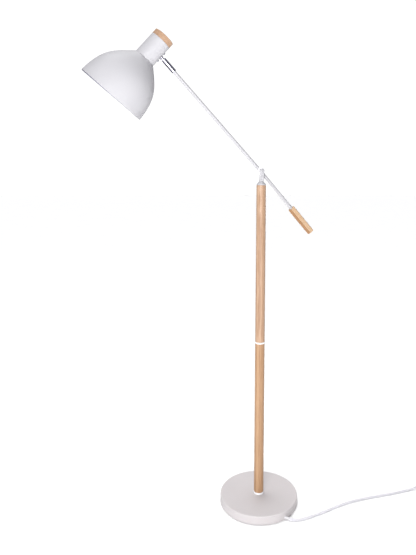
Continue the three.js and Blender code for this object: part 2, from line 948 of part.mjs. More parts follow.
const cordFloor = cordRadius + floorLift;
const heading = degrees(outletHeading);
const azimuth = degrees(outletAzimuth);
const alongOutlet = (distance, z) => [
  baseRadius * Math.cos(azimuth) + distance * Math.cos(heading),
  baseRadius * Math.sin(azimuth) + distance * Math.sin(heading),
  z,
];
const switchLine = -92; // the switch and the coil's last approach lie on this Y
const switchEntry = floorLift + switchHeight / 2;
const coilCentre = [645, switchLine + coilMiddleRadius + (coilTurnsAcross / 2) * coilPitch];
const coilOuter = coilMiddleRadius + (coilTurnsAcross / 2) * coilPitch + cordRadius;
const coilInner = coilMiddleRadius - (coilTurnsAcross / 2) * coilPitch - cordRadius;
const coilEntryRadius = coilMiddleRadius + (coilTurnsAcross / 2) * coilPitch;
const coilTop = floorLift + coilLayers * coilPitch;
const tangentGap = Math.sqrt((coilOuter + gap) ** 2 - (coilEntryRadius - cordRadius) ** 2);

const frontRun = [
  alongOutlet(reliefOutside + gap, outletHeight),
  alongOutlet(reliefOutside + 5, outletHeight - 0.5),
  [66.5, -126.2, cordFloor + 1],
  [81, -129, cordFloor],
  [102, -128.4, cordFloor],
  [133.5, -124, cordFloor],
  [168, -117, cordFloor],
  [205, -107.5, cordFloor],
  [240, -100, cordFloor],
  [280, -94.5, cordFloor],
  [325, -92.5, cordFloor],
  [370, -93, cordFloor],
  [415, -94, cordFloor],
  [455, -93.5, cordFloor],
  [485, -92.5, cordFloor],
  [501, switchLine, cordFloor + 0.8],
  [511, switchLine, switchEntry - 1.8],
  [518.5, switchLine, switchEntry - 0.1],
  [switchStart - gap, switchLine, switchEntry],
];
const switchEnd = switchStart + switchLength;
const coilRun = [
  [switchEnd + gap, switchLine, switchEntry],
  [switchEnd + 4, switchLine, switchEntry - 0.1],
  [switchEnd + 12, switchLine, switchEntry - 2.6],
  [switchEnd + 21, switchLine, cordFloor + 0.2],
  [coilCentre[0] - tangentGap, switchLine, cordFloor],
];
const plugAxis = floorLift + plugHeight / 2;
const tailX = coilCentre[0] + coilEntryRadius;
const tailStart = coilCentre[1] + tangentGap;
const plugStart = tailStart + 30;
const tailRun = [
  [tailX, tailStart, coilTop - cordRadius - 0.5],
  [tailX, tailStart + 10, coilTop - cordRadius - 1.5],
  [tailX, tailStart + 20, plugAxis + 0.6],
  [tailX, plugStart - gap, plugAxis],
];

place(lamp, "cord_front", cordAlong(frontRun, cordRadius, 10, 42), whitePlastic);
place(lamp, "cord_to_coil", cordAlong(coilRun, cordRadius, 10, 6), whitePlastic);
place(lamp, "cord_tail", cordAlong(tailRun, cordRadius, 10, 6), whitePlastic);

const coil = frame(lamp, coilCentre[0], coilCentre[1], 0);
place(coil, "cord_coil", ring(coilInner, coilOuter, floorLift, coilTop, 40), whitePlastic);

// An inline foot switch in two shells, with a sprung push button.
const switchBody = frame(lamp, switchStart + switchLength / 2, switchLine, 0);
const switchSplit = switchEntry;
const switchTop = floorLift + switchHeight;
const buttonRadius = 8;
const buttonTravel = 2.5;

function switchShell(low, high, open) {
  const outer = roundedBlock(switchLength, switchWidth, low, high, 7);
  const inner = roundedBlock(
    switchLength - 2 * switchWall,
    switchWidth - 2 * switchWall,
    low + (open === "top" ? switchWall : -1),
    high + (open === "top" ? 1 : -switchWall),
    5,
  );
  return cut(outer, inner);
}

place(
  switchBody,
  "switch_base",
  switchShell(floorLift, switchSplit - gap / 2, "top"),
  whitePlastic,
);
place(
  switchBody,
  "switch_cover",
  cut(
    switchShell(switchSplit + gap / 2, switchTop, "bottom"),
    rod(buttonRadius + slide, switchSplit, switchTop + 5),
  ),
  whitePlastic,
);

function pushButton() {
  const high = switchTop + buttonTravel + 1;
  const low = switchTop - 5;
  return turned(
    [
      [0, low],
      [buttonRadius + 1.5, low],
      [buttonRadius + 1.5, low + 1.5],
      [buttonRadius, low + 1.5],
      [buttonRadius, high - 1],
      [buttonRadius - 1, high],
      [0, high],
    ],
    24,
  );
}

place(switchBody, "switch_button", pushButton(), whitePlastic);

// A flat two-pin plug that lies on its side.
const plug = frame(lamp, tailX, plugStart, floorLift);

function plugBody() {
  const shape = new THREE.Shape();
  const half = plugWidth / 2;
  shape.moveTo(-5, 0);
  shape.lineTo(5, 0);
  shape.bezierCurveTo(7, 8, half, 8, half, 18);
  shape.lineTo(half, plugLength);
  shape.lineTo(-half, plugLength);
  shape.lineTo(-half, 18);
  shape.bezierCurveTo(-half, 8, -7, 8, -5, 0);
  const options = { depth: plugHeight, bevelEnabled: false, curveSegments: 6 };
  return new THREE.ExtrudeGeometry(shape, options);
}

place(plug, "plug_body", plugBody(), whitePlastic);
[-1, 1].forEach((side, i) => {
  const pin = alongY(rod(pinRadius, plugLength + gap, plugLength + pinLength, 16));
  pin.translate((side * pinSpacing) / 2, 0, plugHeight / 2);
  place(plug, "plug_pin_" + (i + 1), pin, brass);
});

export default lamp;
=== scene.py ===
"""Looks of the adjustable arm floor lamp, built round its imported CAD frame. Blender 4.5, metres.

Each piece takes its place and its size from the CAD node that it stands for, measured in the frame
of the part that holds it. A frame's Z axis is the axis that its pieces are turned about.
"""

import json
import math

import bmesh
import bpy
from mathutils import Matrix, Vector


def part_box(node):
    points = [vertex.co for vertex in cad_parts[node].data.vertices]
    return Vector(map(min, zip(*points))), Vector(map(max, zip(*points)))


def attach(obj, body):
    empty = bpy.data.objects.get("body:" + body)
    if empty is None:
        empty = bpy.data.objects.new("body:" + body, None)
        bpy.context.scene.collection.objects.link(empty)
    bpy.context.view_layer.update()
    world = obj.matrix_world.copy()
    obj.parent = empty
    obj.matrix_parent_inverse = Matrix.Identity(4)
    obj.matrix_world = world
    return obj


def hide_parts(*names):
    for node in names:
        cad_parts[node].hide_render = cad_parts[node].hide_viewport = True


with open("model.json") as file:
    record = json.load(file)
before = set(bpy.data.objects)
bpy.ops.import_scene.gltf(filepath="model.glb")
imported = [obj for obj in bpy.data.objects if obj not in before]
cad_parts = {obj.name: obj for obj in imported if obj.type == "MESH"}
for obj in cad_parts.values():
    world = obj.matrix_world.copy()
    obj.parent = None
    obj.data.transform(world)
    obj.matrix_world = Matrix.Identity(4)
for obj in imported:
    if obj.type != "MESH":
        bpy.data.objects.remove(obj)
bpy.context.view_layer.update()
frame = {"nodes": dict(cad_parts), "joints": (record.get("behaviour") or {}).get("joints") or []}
joints = {joint["name"]: joint for joint in frame["joints"]}

# ---- camera
CAMERA_PLACE = (-0.5447, -1.5306, 1.006)
CAMERA_TURN = -17.0  # degrees about the upright, from looking along +Y
CAMERA_ROLL = 0.5
CAMERA_SHIFT = (-0.054, -0.176)
CAMERA_LENS = 33.47
CAMERA_SENSOR = 36  # along the picture's height


def added(name, data):
    """Puts a mesh, a light or a camera into the scene as an object."""
    obj = bpy.data.objects.new(name, data)
    bpy.context.scene.collection.objects.link(obj)
    return obj


def make_camera():
    data = bpy.data.cameras.new("camera")
    data.lens = CAMERA_LENS
    data.sensor_width = CAMERA_SENSOR
    data.shift_x, data.shift_y = CAMERA_SHIFT
    camera = added("camera", data)
    turn = Matrix.Rotation(math.radians(CAMERA_TURN), 4, "Z") @ Matrix.Rotation(math.pi / 2, 4, "X")
    roll = Matrix.Rotation(math.radians(CAMERA_ROLL), 4, "Z")
    camera.matrix_world = Matrix.Translation(CAMERA_PLACE) @ turn @ roll
    bpy.context.scene.camera = camera


make_camera()

# ---- places in the frame
BACK = Vector((0, 1, 0))
UP = Vector((0, 0, 1))


def placed(origin, z, y):
    """A frame at origin, with its Z axis along z and its Y axis as near y as it can be."""
    z = Vector(z).normalized()
    x = Vector(y).cross(z).normalized()
    return Matrix.Translation(origin) @ Matrix((x, z.cross(x), z)).transposed().to_4x4()


def level(turn):
    """The level direction that far round from +X."""
    return Vector((math.cos(turn), math.sin(turn), 0))


def middle(node):
    """The middle of a CAD node's box."""
    low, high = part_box(node)
    return (low + high) / 2


def over(node):
    """A frame at the foot of the upright through a CAD node's middle."""
    centre = middle(node)
    return Matrix.Translation((centre.x, centre.y, 0))


def span(node, place):
    """The outer and inner radius and the lowest and highest Z of a CAD node in a frame."""
    inverse = place.inverted()
    points = [inverse @ vertex.co for vertex in frame["nodes"][node].data.vertices]
    radii = [point.xy.length for point in points]
    heights = [point.z for point in points]
    return max(radii), min(radii), min(heights), max(heights)


stand = Matrix.Identity(4)
pivot = Vector(joints["arm_tilt"]["pos_m"])
ball = Vector(joints["head_tilt"]["pos_m"])
pivot_stack = placed((0, 0, pivot.z), BACK, UP)
arm = placed(pivot, joints["knuckle_turn"]["axis"], BACK)
lower_arm = placed(pivot, pivot - middle("lower_arm_tube"), BACK)
knuckle = placed(ball, joints["knuckle_turn"]["axis"], BACK)
stud = placed(ball, joints["head_turn"]["axis"], BACK)

head_axis = (middle("holder_nipple") - middle("holder_body")).normalized()
neck = middle("holder_nipple")
neck += head_axis * head_axis.dot(ball - neck)
head = placed(neck, head_axis, head_axis.cross(ball - neck))

OUTLET_AZIMUTH = math.radians(-68)  # where the cord leaves the base's side
OUTLET_HEADING = math.radians(-42)  # the way it leaves
OUTLET_HEIGHT = 0.0063
base_radius = span("base_cover", stand)[0]
outlet_x = base_radius * math.cos(OUTLET_AZIMUTH)
outlet_y = base_radius * math.sin(OUTLET_AZIMUTH)
outlet_place = Vector((outlet_x, outlet_y, OUTLET_HEIGHT))
outlet_way = level(OUTLET_HEADING)
outlet = placed(outlet_place, outlet_way, UP)


# ---- materials
def srgb(red, green, blue):
    """A colour given in display values from 0 to 255, in linear light."""

    def linear(value):
        value /= 255
        return value / 12.92 if value <= 0.04045 else ((value + 0.055) / 1.055) ** 2.4

    return (linear(red), linear(green), linear(blue), 1)


class Finish:
    """A procedural material that belongs to one of the record's slots."""

    def __init__(self, slot, metallic=0.0):
        self.slot = slot
        self.material = bpy.data.materials.new(slot)
        self.material.use_nodes = True
        self.tree = self.material.node_tree
        self.shader = self.tree.nodes["Principled BSDF"]
        self.set("Metallic", metallic)

    def set(self, socket, value):
        self.shader.inputs[socket].default_value = value

    def node(self, kind, **values):
        made = self.tree.nodes.new(kind)
        for name, value in values.items():
            made.inputs[name.replace("_", " ")].default_value = value
        return made

    def link(self, source, target):
        self.tree.links.new(source, target)

    def coordinates(self, stretch=(1, 1, 1), shift=(0, 0, 0)):
        """Places on the piece in metres, in its own frame, stretched and shifted."""
        source = self.node("ShaderNodeTexCoord")
        mapping = self.node("ShaderNodeMapping", Scale=stretch, Location=shift)
        self.link(source.outputs["Object"], mapping.inputs["Vector"])
        return mapping.outputs["Vector"]

    def noise(self, scale, detail=2.0, rough=0.5, distortion=0.0, stretch=(1, 1, 1)):
        made = self.node(
            "ShaderNodeTexNoise", Scale=scale, Detail=detail, Roughness=rough, Distortion=distortion
        )
        self.link(self.coordinates(stretch), made.inputs["Vector"])
        return made.outputs["Fac"]

    def ramp(self, source, *stops):
        """Colours at places from 0 to 1 along the source's value."""
        made = self.node("ShaderNodeValToRGB")
        elements = made.color_ramp.elements
        while len(elements) < len(stops):
            elements.new(0.5)
        for element, (place, colour) in zip(elements, stops):
            element.position = place
            element.color = colour
        self.link(source, made.inputs["Fac"])
        return made.outputs["Color"]

    def grey(self, source, low, high, start=0.3, end=0.7):
        """A number that goes from low to high as the source goes from start to end."""
        made = self.node("ShaderNodeMapRange")
        for name, value in (("From Min", start), ("From Max", end), ("To Min", low), ("To Max", high)):
            made.inputs[name].default_value = value
        self.link(source, made.inputs["Value"])
        return made.outputs["Result"]

    def mix(self, factor, first, second, kind="MIX"):
        """A colour mixed from two, each a colour or the output of a node."""
        made = self.node("ShaderNodeMix")
        made.data_type = "RGBA"
        made.blend_type = kind
        in_factor, in_first, in_second = (made.inputs[i] for i in (0, 6, 7))  # the ones for colours
        for value, target in ((factor, in_factor), (first, in_first), (second, in_second)):
            if isinstance(value, bpy.types.NodeSocket):
                self.link(value, target)
            else:
                target.default_value = value
        return made.outputs[2]  # the colour

    def colour(self, source):
        self.link(source, self.shader.inputs["Base Color"])

    def rough(self, source, low, high):
        self.link(self.grey(source, low, high), self.shader.inputs["Roughness"])

    def bump(self, source, height):
        """Relief of that height, in metres, from the source's value."""
        made = self.node("ShaderNodeBump", Distance=height, Strength=1.0)
        self.link(source, made.inputs["Height"])
        self.link(made.outputs["Normal"], self.shader.inputs["Normal"])

    def facing(self, direction):
        """How squarely the surface faces along that line of the piece's own frame, from 0 to 1."""
        source = self.node("ShaderNodeTexCoord")
        made = self.node("ShaderNodeVectorMath")
        made.operation = "DOT_PRODUCT"
        made.inputs[1].default_value = direction
        self.link(source.outputs["Normal"], made.inputs[0])
        either_way = self.node("ShaderNodeMath")
        either_way.operation = "ABSOLUTE"
        self.link(made.outputs["Value"], either_way.inputs[0])
        return either_way.outputs["Value"]


def dimmed(colour, share):
    """The colour with that share of its light."""
    return (colour[0] * share, colour[1] * share, colour[2] * share, 1)


def paint(slot, colour, roughness):
    """Powder coat: an even colour with slight clouds and a fine orange peel."""
    finish = Finish(slot)
    clouds = finish.noise(14, detail=3)
    finish.colour(finish.ramp(clouds, (0.3, dimmed(colour, 0.965)), (0.7, colour)))
    peel = finish.noise(700, detail=2)
    finish.rough(peel, roughness - 0.05, roughness + 0.05)
    finish.bump(peel, 0.000003)
    finish.set("Specular IOR Level", 0.35)
    return finish


def wood(slot, light, dark, roughness=0.42, flat=None, painted_shade_tone=None):
    """Ash with its grain along Z: growth rings round a pith outside the piece, and fine pores.

    Faces that look along flat, either way, are darkened towards the given tone: painted shade on the faces
    turned away from the light.
    """
    pith = (0.036, 0.021, 0)
    finish = Finish(slot)
    rings = finish.node(
        "ShaderNodeTexWave", Scale=88, Distortion=5.0, Detail=2, Detail_Scale=0.9, Detail_Roughness=0.55
    )
    rings.wave_type = "RINGS"
    rings.rings_direction = "Z"
    finish.link(finish.coordinates((1, 1, 0.11), pith), rings.inputs["Vector"])
    pores = finish.noise(1500, detail=3, rough=0.6, stretch=(1, 1, 0.022))
    streaks = finish.noise(190, detail=3, stretch=(1, 1, 0.05))
    early = finish.ramp(rings.outputs["Fac"], (0.05, dark), (0.55, light), (0.95, dimmed(light, 1.04)))
    streaky = finish.mix(finish.grey(streaks, 0, 0.5), early, dark)
    # painted shade: faces that look along flat, either way, are mixed towards a darker tone
    if flat:
        shaded_faces = finish.grey(finish.facing(flat), 0, 0.85, 0.8, 0.93)
        streaky = finish.mix(shaded_faces, streaky, painted_shade_tone)
    fibres = finish.ramp(pores, (0.32, (0.8, 0.74, 0.68, 1)), (0.5, (1, 1, 1, 1)))
    finish.colour(finish.mix(0.8, streaky, fibres, "MULTIPLY"))
    finish.rough(pores, roughness + 0.1, roughness - 0.03)
    finish.bump(pores, 0.00005)
    finish.set("Specular IOR Level", 0.4)
    return finish


def bright_metal(slot, colour, roughness, stretch=(1, 1, 1)):
    """Plated or turned metal, with faint marks that change how sharply it reflects."""
    finish = Finish(slot, metallic=1.0)
    wear = finish.noise(120, detail=4, stretch=stretch)
    marks = finish.noise(1800, detail=2, stretch=stretch)
    finish.colour(finish.ramp(wear, (0.3, dimmed(colour, 0.9)), (0.65, colour)))
    finish.rough(wear, roughness * 0.7, roughness * 1.5)
    finish.bump(marks, 0.000004)
    return finish


def cast_iron():
    """Rough sand-cast grey iron."""
    finish = Finish("iron", metallic=0.4)
    grains = finish.noise(420, detail=5, rough=0.65)
    finish.colour(finish.ramp(grains, (0.3, srgb(46, 46, 48)), (0.7, srgb(78, 76, 74))))
    finish.rough(grains, 0.6, 0.9)
    finish.bump(grains, 0.0003)
    return finish


def wool_felt():
    """Dark felt of matted fibres."""
    finish = Finish("felt")
    fibres = finish.noise(1400, detail=5, rough=0.7, distortion=1.5)
    finish.colour(finish.ramp(fibres, (0.3, srgb(38, 38, 41)), (0.7, srgb(74, 74, 78))))
    finish.set("Roughness", 0.95)
    finish.set("Sheen Weight", 0.4)
    finish.bump(fibres, 0.0004)
    return finish


def moulded(slot, colour, roughness, grain=1200, relief=0.00002):
    """Moulded plastic or ceramic: a fine even grain, slightly cloudy."""
    finish = Finish(slot)
    clouds = finish.noise(30, detail=3)
    finish.colour(finish.ramp(clouds, (0.3, dimmed(colour, 0.95)), (0.7, colour)))
    texture = finish.noise(grain, detail=1)
    finish.rough(texture, roughness - 0.06, roughness + 0.06)
    finish.bump(texture, relief)
    return finish


def braid():
    """White textile braid over the strands of the cord."""
    finish = Finish("cord")
    threads = finish.node("ShaderNodeTexVoronoi", Scale=1500, Randomness=0.55)
    finish.link(finish.coordinates(), threads.inputs["Vector"])
    distance = threads.outputs["Distance"]
    soil = finish.noise(60, detail=3)
    clean = finish.ramp(distance, (0.1, srgb(240, 239, 243)), (0.75, srgb(190, 189, 198)))
    finish.colour(finish.mix(finish.grey(soil, 0, 0.22), clean, srgb(184, 180, 178)))
    finish.set("Roughness", 0.85)
    finish.set("Sheen Weight", 0.3)
    finish.bump(distance, 0.00025)
    return finish


def opal():
    """Milky glass of a bulb that is off."""
    finish = Finish("opal_glass")
    milk = finish.noise(40, detail=3)
    finish.colour(finish.ramp(milk, (0.3, srgb(240, 238, 232)), (0.7, srgb(250, 249, 246))))
    finish.rough(milk, 0.1, 0.18)
    finish.set("Subsurface Weight", 0.4)
    finish.set("Subsurface Radius", (0.004, 0.004, 0.003))
    finish.set("Coat Weight", 0.4)
    return finish


white_paint = paint("white_paint", srgb(183, 182, 186), 0.38)
# a darker copy of the white paint for the arm's tubes: painted shade
painted_shade_white = paint("white_paint", srgb(177, 176, 180), 0.38)
# a brighter copy of the white paint for the rings and the arm's hub: painted light
painted_light_white = paint("white_paint", srgb(242, 241, 244), 0.38)
shade_paint = paint("shade_paint", srgb(181, 180, 184), 0.62)
# dark grey for the inside of the shade and the band at its rim: painted shadow
painted_shade_grey = paint("shade_paint", srgb(120, 120, 134), 0.5)
grey_paint = paint("grey_paint", srgb(191, 186, 187), 0.6)
ash = wood("ash", srgb(183, 152, 127), srgb(157, 123, 96))
ash_lower = wood("ash", srgb(179, 144, 112), srgb(154, 117, 84))
GRIP_TURN = math.radians(5.9)  # that the grip's front face is turned upwards
# the grip's faces that look along one level line, either way, take a darker tone: painted shade
ash_grip = wood(
    "ash_grip",
    srgb(206, 178, 148),
    srgb(184, 150, 116),
    flat=level(GRIP_TURN + math.pi / 6),
    painted_shade_tone=srgb(142, 103, 68),
)
chrome = bright_metal("chrome", srgb(152, 151, 164), 0.12, (1, 1, 0.2))
steel = bright_metal("steel", srgb(176, 178, 184), 0.28)
brass = bright_metal("brass", srgb(208, 172, 96), 0.22)
iron = cast_iron()
felt = wool_felt()
white_plastic = moulded("white_plastic", srgb(202, 201, 203), 0.42)
ceramic = moulded("ceramic", srgb(232, 226, 212), 0.3, 500, 0.00004)
cord_braid = braid()
opal_glass = opal()

# ---- outlines
GAP = 0.0003  # room that touching pieces keep between them
ARC_STEPS = 5  # on each fillet


def circle(segments):
    """Angles spaced evenly round a full turn."""
    return [2 * math.pi * j / segments for j in range(segments)]


def ring(radius, z, segments):
    """Points spaced evenly round the Z axis."""
    return [(radius * math.cos(a), radius * math.sin(a), z) for a in circle(segments)]


def rounded(*corners):
    """A closed outline through corners of (x, y) or (x, y, fillet), with an arc at each fillet."""
    outline = []
    for i, corner in enumerate(corners):
        here = Vector(corner[:2])
        if len(corner) < 3:
            outline.append(here)
            continue
        before = (Vector(corners[i - 1][:2]) - here).normalized()
        after = (Vector(corners[(i + 1) % len(corners)][:2]) - here).normalized()
        half = before.angle(after) / 2
        centre = here + (before + after).normalized() * corner[2] / math.sin(half)
        start = here + before * corner[2] / math.tan(half) - centre
        end = here + after * corner[2] / math.tan(half) - centre
        turn = -start.angle_signed(end)
        for step in range(ARC_STEPS + 1):
            outline.append(centre + Matrix.Rotation(turn * step / ARC_STEPS, 2) @ start)
    return outline


def oblong(left, bottom, right, top, *fillet):
    """A rectangle's outline, with the same fillet at every corner if one is given."""
    corners = ((left, bottom), (right, bottom), (right, top), (left, top))
    return rounded(*((*corner, *fillet) for corner in corners))


def hexagon(corner, fillet, turn=0.0):
    """A six-sided outline whose corners, before their fillets, lie that far from its middle."""
    points = []
    for i in range(6):
        angle = turn + i * math.pi / 3
        points.append((corner * math.cos(angle), corner * math.sin(angle), fillet))
    return rounded(*points)


def arc(x, y, radius, start, end, steps, upright=None):
    """Points round (x, y) from one angle to another, on a circle or an oval of that upright half axis."""
    upright = upright or radius
    points = []
    for step in range(steps + 1):
        angle = start + (end - start) * step / steps
        points.append(Vector((x + radius * math.cos(angle), y + upright * math.sin(angle))))
    return points


def bezier(t, a, b, c, d):
    """The place at t, from 0 to 1, on the cubic curve from a to d that b and c pull at."""
    return a * (1 - t) ** 3 + b * (3 * t * (1 - t) ** 2) + c * (3 * t * t * (1 - t)) + d * t**3


def rounded_rib(radius, start, width=0.0012, groove=0.0007):
    """One rib of a sleeve and the groove after it, as (radius, height) points."""
    points = [(radius - groove, start)]
    for step in range(5):
        angle = math.pi * step / 4
        points.append((radius - groove / 2 * (1 - math.sin(angle)), start + width * step / 4))
    points.append((radius - groove, start + width + 0.0006))
    return points


# ---- mesh making
def skin(name, rings, place, looped=False, capped=False):
    """A mesh through closed rings of points, each joined to the next, and last to first if looped."""
    count = len(rings[0])
    faces = []
    for i in range(len(rings) if looped else len(rings) - 1):
        here = i * count
        there = (i + 1) % len(rings) * count
        for j in range(count):
            k = (j + 1) % count
            faces.append((here + j, here + k, there + k, there + j))
    if capped:
        faces.append(tuple(range(count)))
        faces.append(tuple((len(rings) - 1) * count + j for j in range(count)))
    mesh = bpy.data.meshes.new(name)
    mesh.from_pydata([tuple(point) for ring in rings for point in ring], [], faces)
    clean = bmesh.new()
    clean.from_mesh(mesh)
    bmesh.ops.remove_doubles(clean, verts=clean.verts, dist=1e-7)
    bmesh.ops.recalc_face_normals(clean, faces=clean.faces)
    clean.to_mesh(mesh)
    clean.free()
    obj = added(name, mesh)
    obj.matrix_world = place
    return obj


def turned(name, outline, place, segments=96, looped=True):
    """An outline of (radius, height) turned about the frame's Z axis."""
    return skin(name, [ring(r, z, segments) for r, z in outline], place, looped)


def bar(name, radius, low, high, place, segments=64):
    """A plain round solid, for cutting holes."""
    return turned(name, [(0, low), (radius, low), (radius, high), (0, high)], place, segments, looped=False)


def block(name, low, high, place):
    """A plain box between two corners, for cutting."""
    outline = oblong(low[0], low[1], high[0], high[1])
    return skin(name, [[(x, y, z) for x, y in outline] for z in (low[2], high[2])], place, capped=True)


def sleeve(name, node, place, fillet, segments=96, top=None):
    """A disc, ring or tube that fills a CAD node's radii and heights, with rounded outer edges."""
    outer, inner, low, high = span(node, place)
    corners = rounded((inner, low), (outer, low, fillet), (outer, high, top or fillet), (inner, high))
    return turned(name, corners, place, segments)


def slab(name, outline, low, high, edge, place):
    """An upright solid over a convex outline, with rounded edges at its bottom and top."""
    count = len(outline)
    inwards = []
    for i, here in enumerate(outline):
        along = (outline[(i + 1) % count] - outline[i - 1]).normalized()
        inwards.append(Vector((-along.y, along.x)))
    centre = sum(outline, Vector((0, 0))) / count
    if inwards[0].dot(centre - outline[0]) < 0:
        inwards = [-way for way in inwards]
    quarter = [math.pi / 2 * step / ARC_STEPS for step in range(ARC_STEPS + 1)]
    bends = [(edge * (1 - math.sin(a)), low + edge * (1 - math.cos(a))) for a in quarter]
    bends += [(edge * (1 - math.sin(a)), high - edge * (1 - math.cos(a))) for a in reversed(quarter)]
    rings = []
    for inset, z in bends:
        rings.append([(*(here + way * inset), z) for here, way in zip(outline, inwards)])
    return skin(name, rings, place, capped=True)


def hex_nut(name, node, place, bore, segments=96):
    """A six-sided nut whose corners are chamfered at both faces, round a bore."""
    corner, _, low, high = span(node, place)
    slope = math.tan(math.radians(30))
    flats = corner * math.cos(math.pi / 6)
    chamfer = (corner - flats) * slope
    levels = [chamfer * share / 4 for share in range(5)]
    heights = [low + depth for depth in levels] + [high - depth for depth in reversed(levels)]
    rings = [ring(bore, low, segments)]
    for z in heights:
        room = min(z - low, high - z) / slope
        line = []
        for a in circle(segments):
            side = flats / math.cos((a + math.pi / 6) % (math.pi / 3) - math.pi / 6)
            r = min(side, corner * 0.985, flats + room)
            line.append((r * math.cos(a), r * math.sin(a), z))
        rings.append(line)
    rings.append(ring(bore, high, segments))
    return skin(name, rings, place, looped=True)


def joined(objects):
    """Makes one object of several."""
    first, *others = objects
    whole = bmesh.new()
    whole.from_mesh(first.data)
    for other in others:
        mesh = other.data
        mesh.transform(first.matrix_world.inverted() @ other.matrix_world)
        whole.from_mesh(mesh)
        bpy.data.objects.remove(other)
    whole.to_mesh(first.data)
    whole.free()
    return first


def shape(obj, operation, *others):
    """Cuts other solids out of a piece, or joins them to it, and removes them."""
    for other in others:
        step = obj.modifiers.new("shape", "BOOLEAN")
        step.operation = operation
        step.solver = "EXACT"
        step.object = other
    bpy.context.view_layer.update()
    done = obj.evaluated_get(bpy.context.evaluated_depsgraph_get())
    obj.data = bpy.data.meshes.new_from_object(done)
    obj.modifiers.clear()
    for other in others:
        bpy.data.objects.remove(other)
    return obj


def dress(obj, body, finish, *nodes, sharp=35):
    """Gives a finished mesh its shading, body and material, and hides the CAD nodes it stands for."""
    mesh = obj.data
    mesh.polygons.foreach_set("use_smooth", [True] * len(mesh.polygons))
    mesh.set_sharp_from_angle(angle=math.radians(sharp))
    mesh.materials.clear()
    mesh.materials.append(finish.material)
    weighted = obj.modifiers.new("normals", "WEIGHTED_NORMAL")
    weighted.keep_sharp = True
    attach(obj, body)
    if nodes:
        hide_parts(*nodes)
    return obj


# ---- cord
CORD_RADIUS = 0.00325
FLOOR = 0.0003  # the cord's own lowest point above the floor
CORD_FLOOR = FLOOR + CORD_RADIUS
STRANDS = 3
STRAND_RADIUS = 0.00152
CORD_LAY = 0.026  # length of cord in which its strands turn once round
SWITCH_LINE = middle("switch_base").y
SWITCH_ENTRY = (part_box("switch_base")[0].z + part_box("switch_cover")[1].z) / 2
KEY_ROOM = 0.0026  # the cord dips this far in the switch, clear of the pressed key
KEY_REACH = 0.012  # and does so for this far on each side of the key's middle
COIL_INWARD = 3.0  # turns of the lower layer
COIL_CLIMB = 0.4  # turns on the way up
COIL_OUTWARD = 2.85  # turns of the upper layer
COIL_STEPS = 24  # points for each turn
PATH_STEP = 0.0022


def along_outlet(distance, z):
    """The place that far out of the base along the outlet, at that height."""
    place = outlet_place + outlet_way * distance
    return (place.x, place.y, z)


def front_route():
    """From inside the strain relief over the floor to the switch."""
    switch_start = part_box("switch_base")[0].x
    return [
        along_outlet(0.004, OUTLET_HEIGHT),
        along_outlet(0.0123, OUTLET_HEIGHT),
        along_outlet(0.017, OUTLET_HEIGHT - 0.0005),
        (0.0665, -0.1262, CORD_FLOOR + 0.001),
        (0.081, -0.129, CORD_FLOOR),
        (0.102, -0.1284, CORD_FLOOR),
        (0.1335, -0.124, CORD_FLOOR),
        (0.168, -0.117, CORD_FLOOR),
        (0.205, -0.1075, CORD_FLOOR),
        (0.24, -0.1, CORD_FLOOR),
        (0.28, -0.0945, CORD_FLOOR),
        (0.325, -0.0925, CORD_FLOOR),
        (0.37, -0.093, CORD_FLOOR),
        (0.415, -0.094, CORD_FLOOR),
        (0.455, -0.0935, CORD_FLOOR),
        (0.485, -0.0925, CORD_FLOOR),
        (0.501, SWITCH_LINE, CORD_FLOOR + 0.0008),
        (0.511, SWITCH_LINE, SWITCH_ENTRY - 0.0018),
        (0.5185, SWITCH_LINE, SWITCH_ENTRY - 0.0001),
        (switch_start, SWITCH_LINE, SWITCH_ENTRY),
    ]


def coil_route():
    """From the switch into the coil: inwards on the floor, up, and outwards again on top."""
    switch_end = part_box("switch_base")[1].x
    low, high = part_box("cord_coil")
    centre = (low + high) / 2
    outer = (high.x - low.x) / 2 - CORD_RADIUS
    inner = outer - COIL_INWARD * 2 * CORD_RADIUS
    under_key = SWITCH_ENTRY - KEY_ROOM
    route = [
        (middle("switch_button").x - KEY_REACH, SWITCH_LINE, under_key),
        (middle("switch_button").x + KEY_REACH, SWITCH_LINE, under_key),
        (switch_end, SWITCH_LINE, SWITCH_ENTRY),
        (switch_end + 0.004, SWITCH_LINE, SWITCH_ENTRY - 0.0001),
        (switch_end + 0.012, SWITCH_LINE, SWITCH_ENTRY - 0.0026),
        (switch_end + 0.021, SWITCH_LINE, CORD_FLOOR + 0.0002),
        (centre.x - 0.0246, SWITCH_LINE, CORD_FLOOR),
    ]
    turns = COIL_INWARD + COIL_CLIMB + COIL_OUTWARD
    for i in range(round(turns * COIL_STEPS) + 1):
        done = i / COIL_STEPS
        climbed = min(1, max(0, (done - COIL_INWARD) / COIL_CLIMB))
        climbed = climbed * climbed * (3 - 2 * climbed)
        inwards = min(1, done / COIL_INWARD)
        outwards = max(0, (done - COIL_INWARD - COIL_CLIMB) / COIL_OUTWARD)
        radius = outer + (inner - outer) * (inwards - outwards)
        angle = (done - 0.25) * 2 * math.pi
        z = low.z + CORD_RADIUS + climbed * (high.z - low.z - 2 * CORD_RADIUS)
        route.append((centre.x + radius * math.cos(angle), centre.y + radius * math.sin(angle), z))
    return route


def tail_route():
    """From the coil into the plug."""
    plug_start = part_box("plug_body")[0].y
    x = middle("plug_body").x
    start = plug_start - 0.03
    coil_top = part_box("cord_coil")[1].z
    axis = middle("plug_body").z
    return [
        (x, start, coil_top - CORD_RADIUS - 0.0005),
        (x, start + 0.01, coil_top - CORD_RADIUS - 0.0015),
        (x, start + 0.02, axis + 0.0006),
        (x, plug_start, axis),
        (x, plug_start + 0.004, axis),
    ]


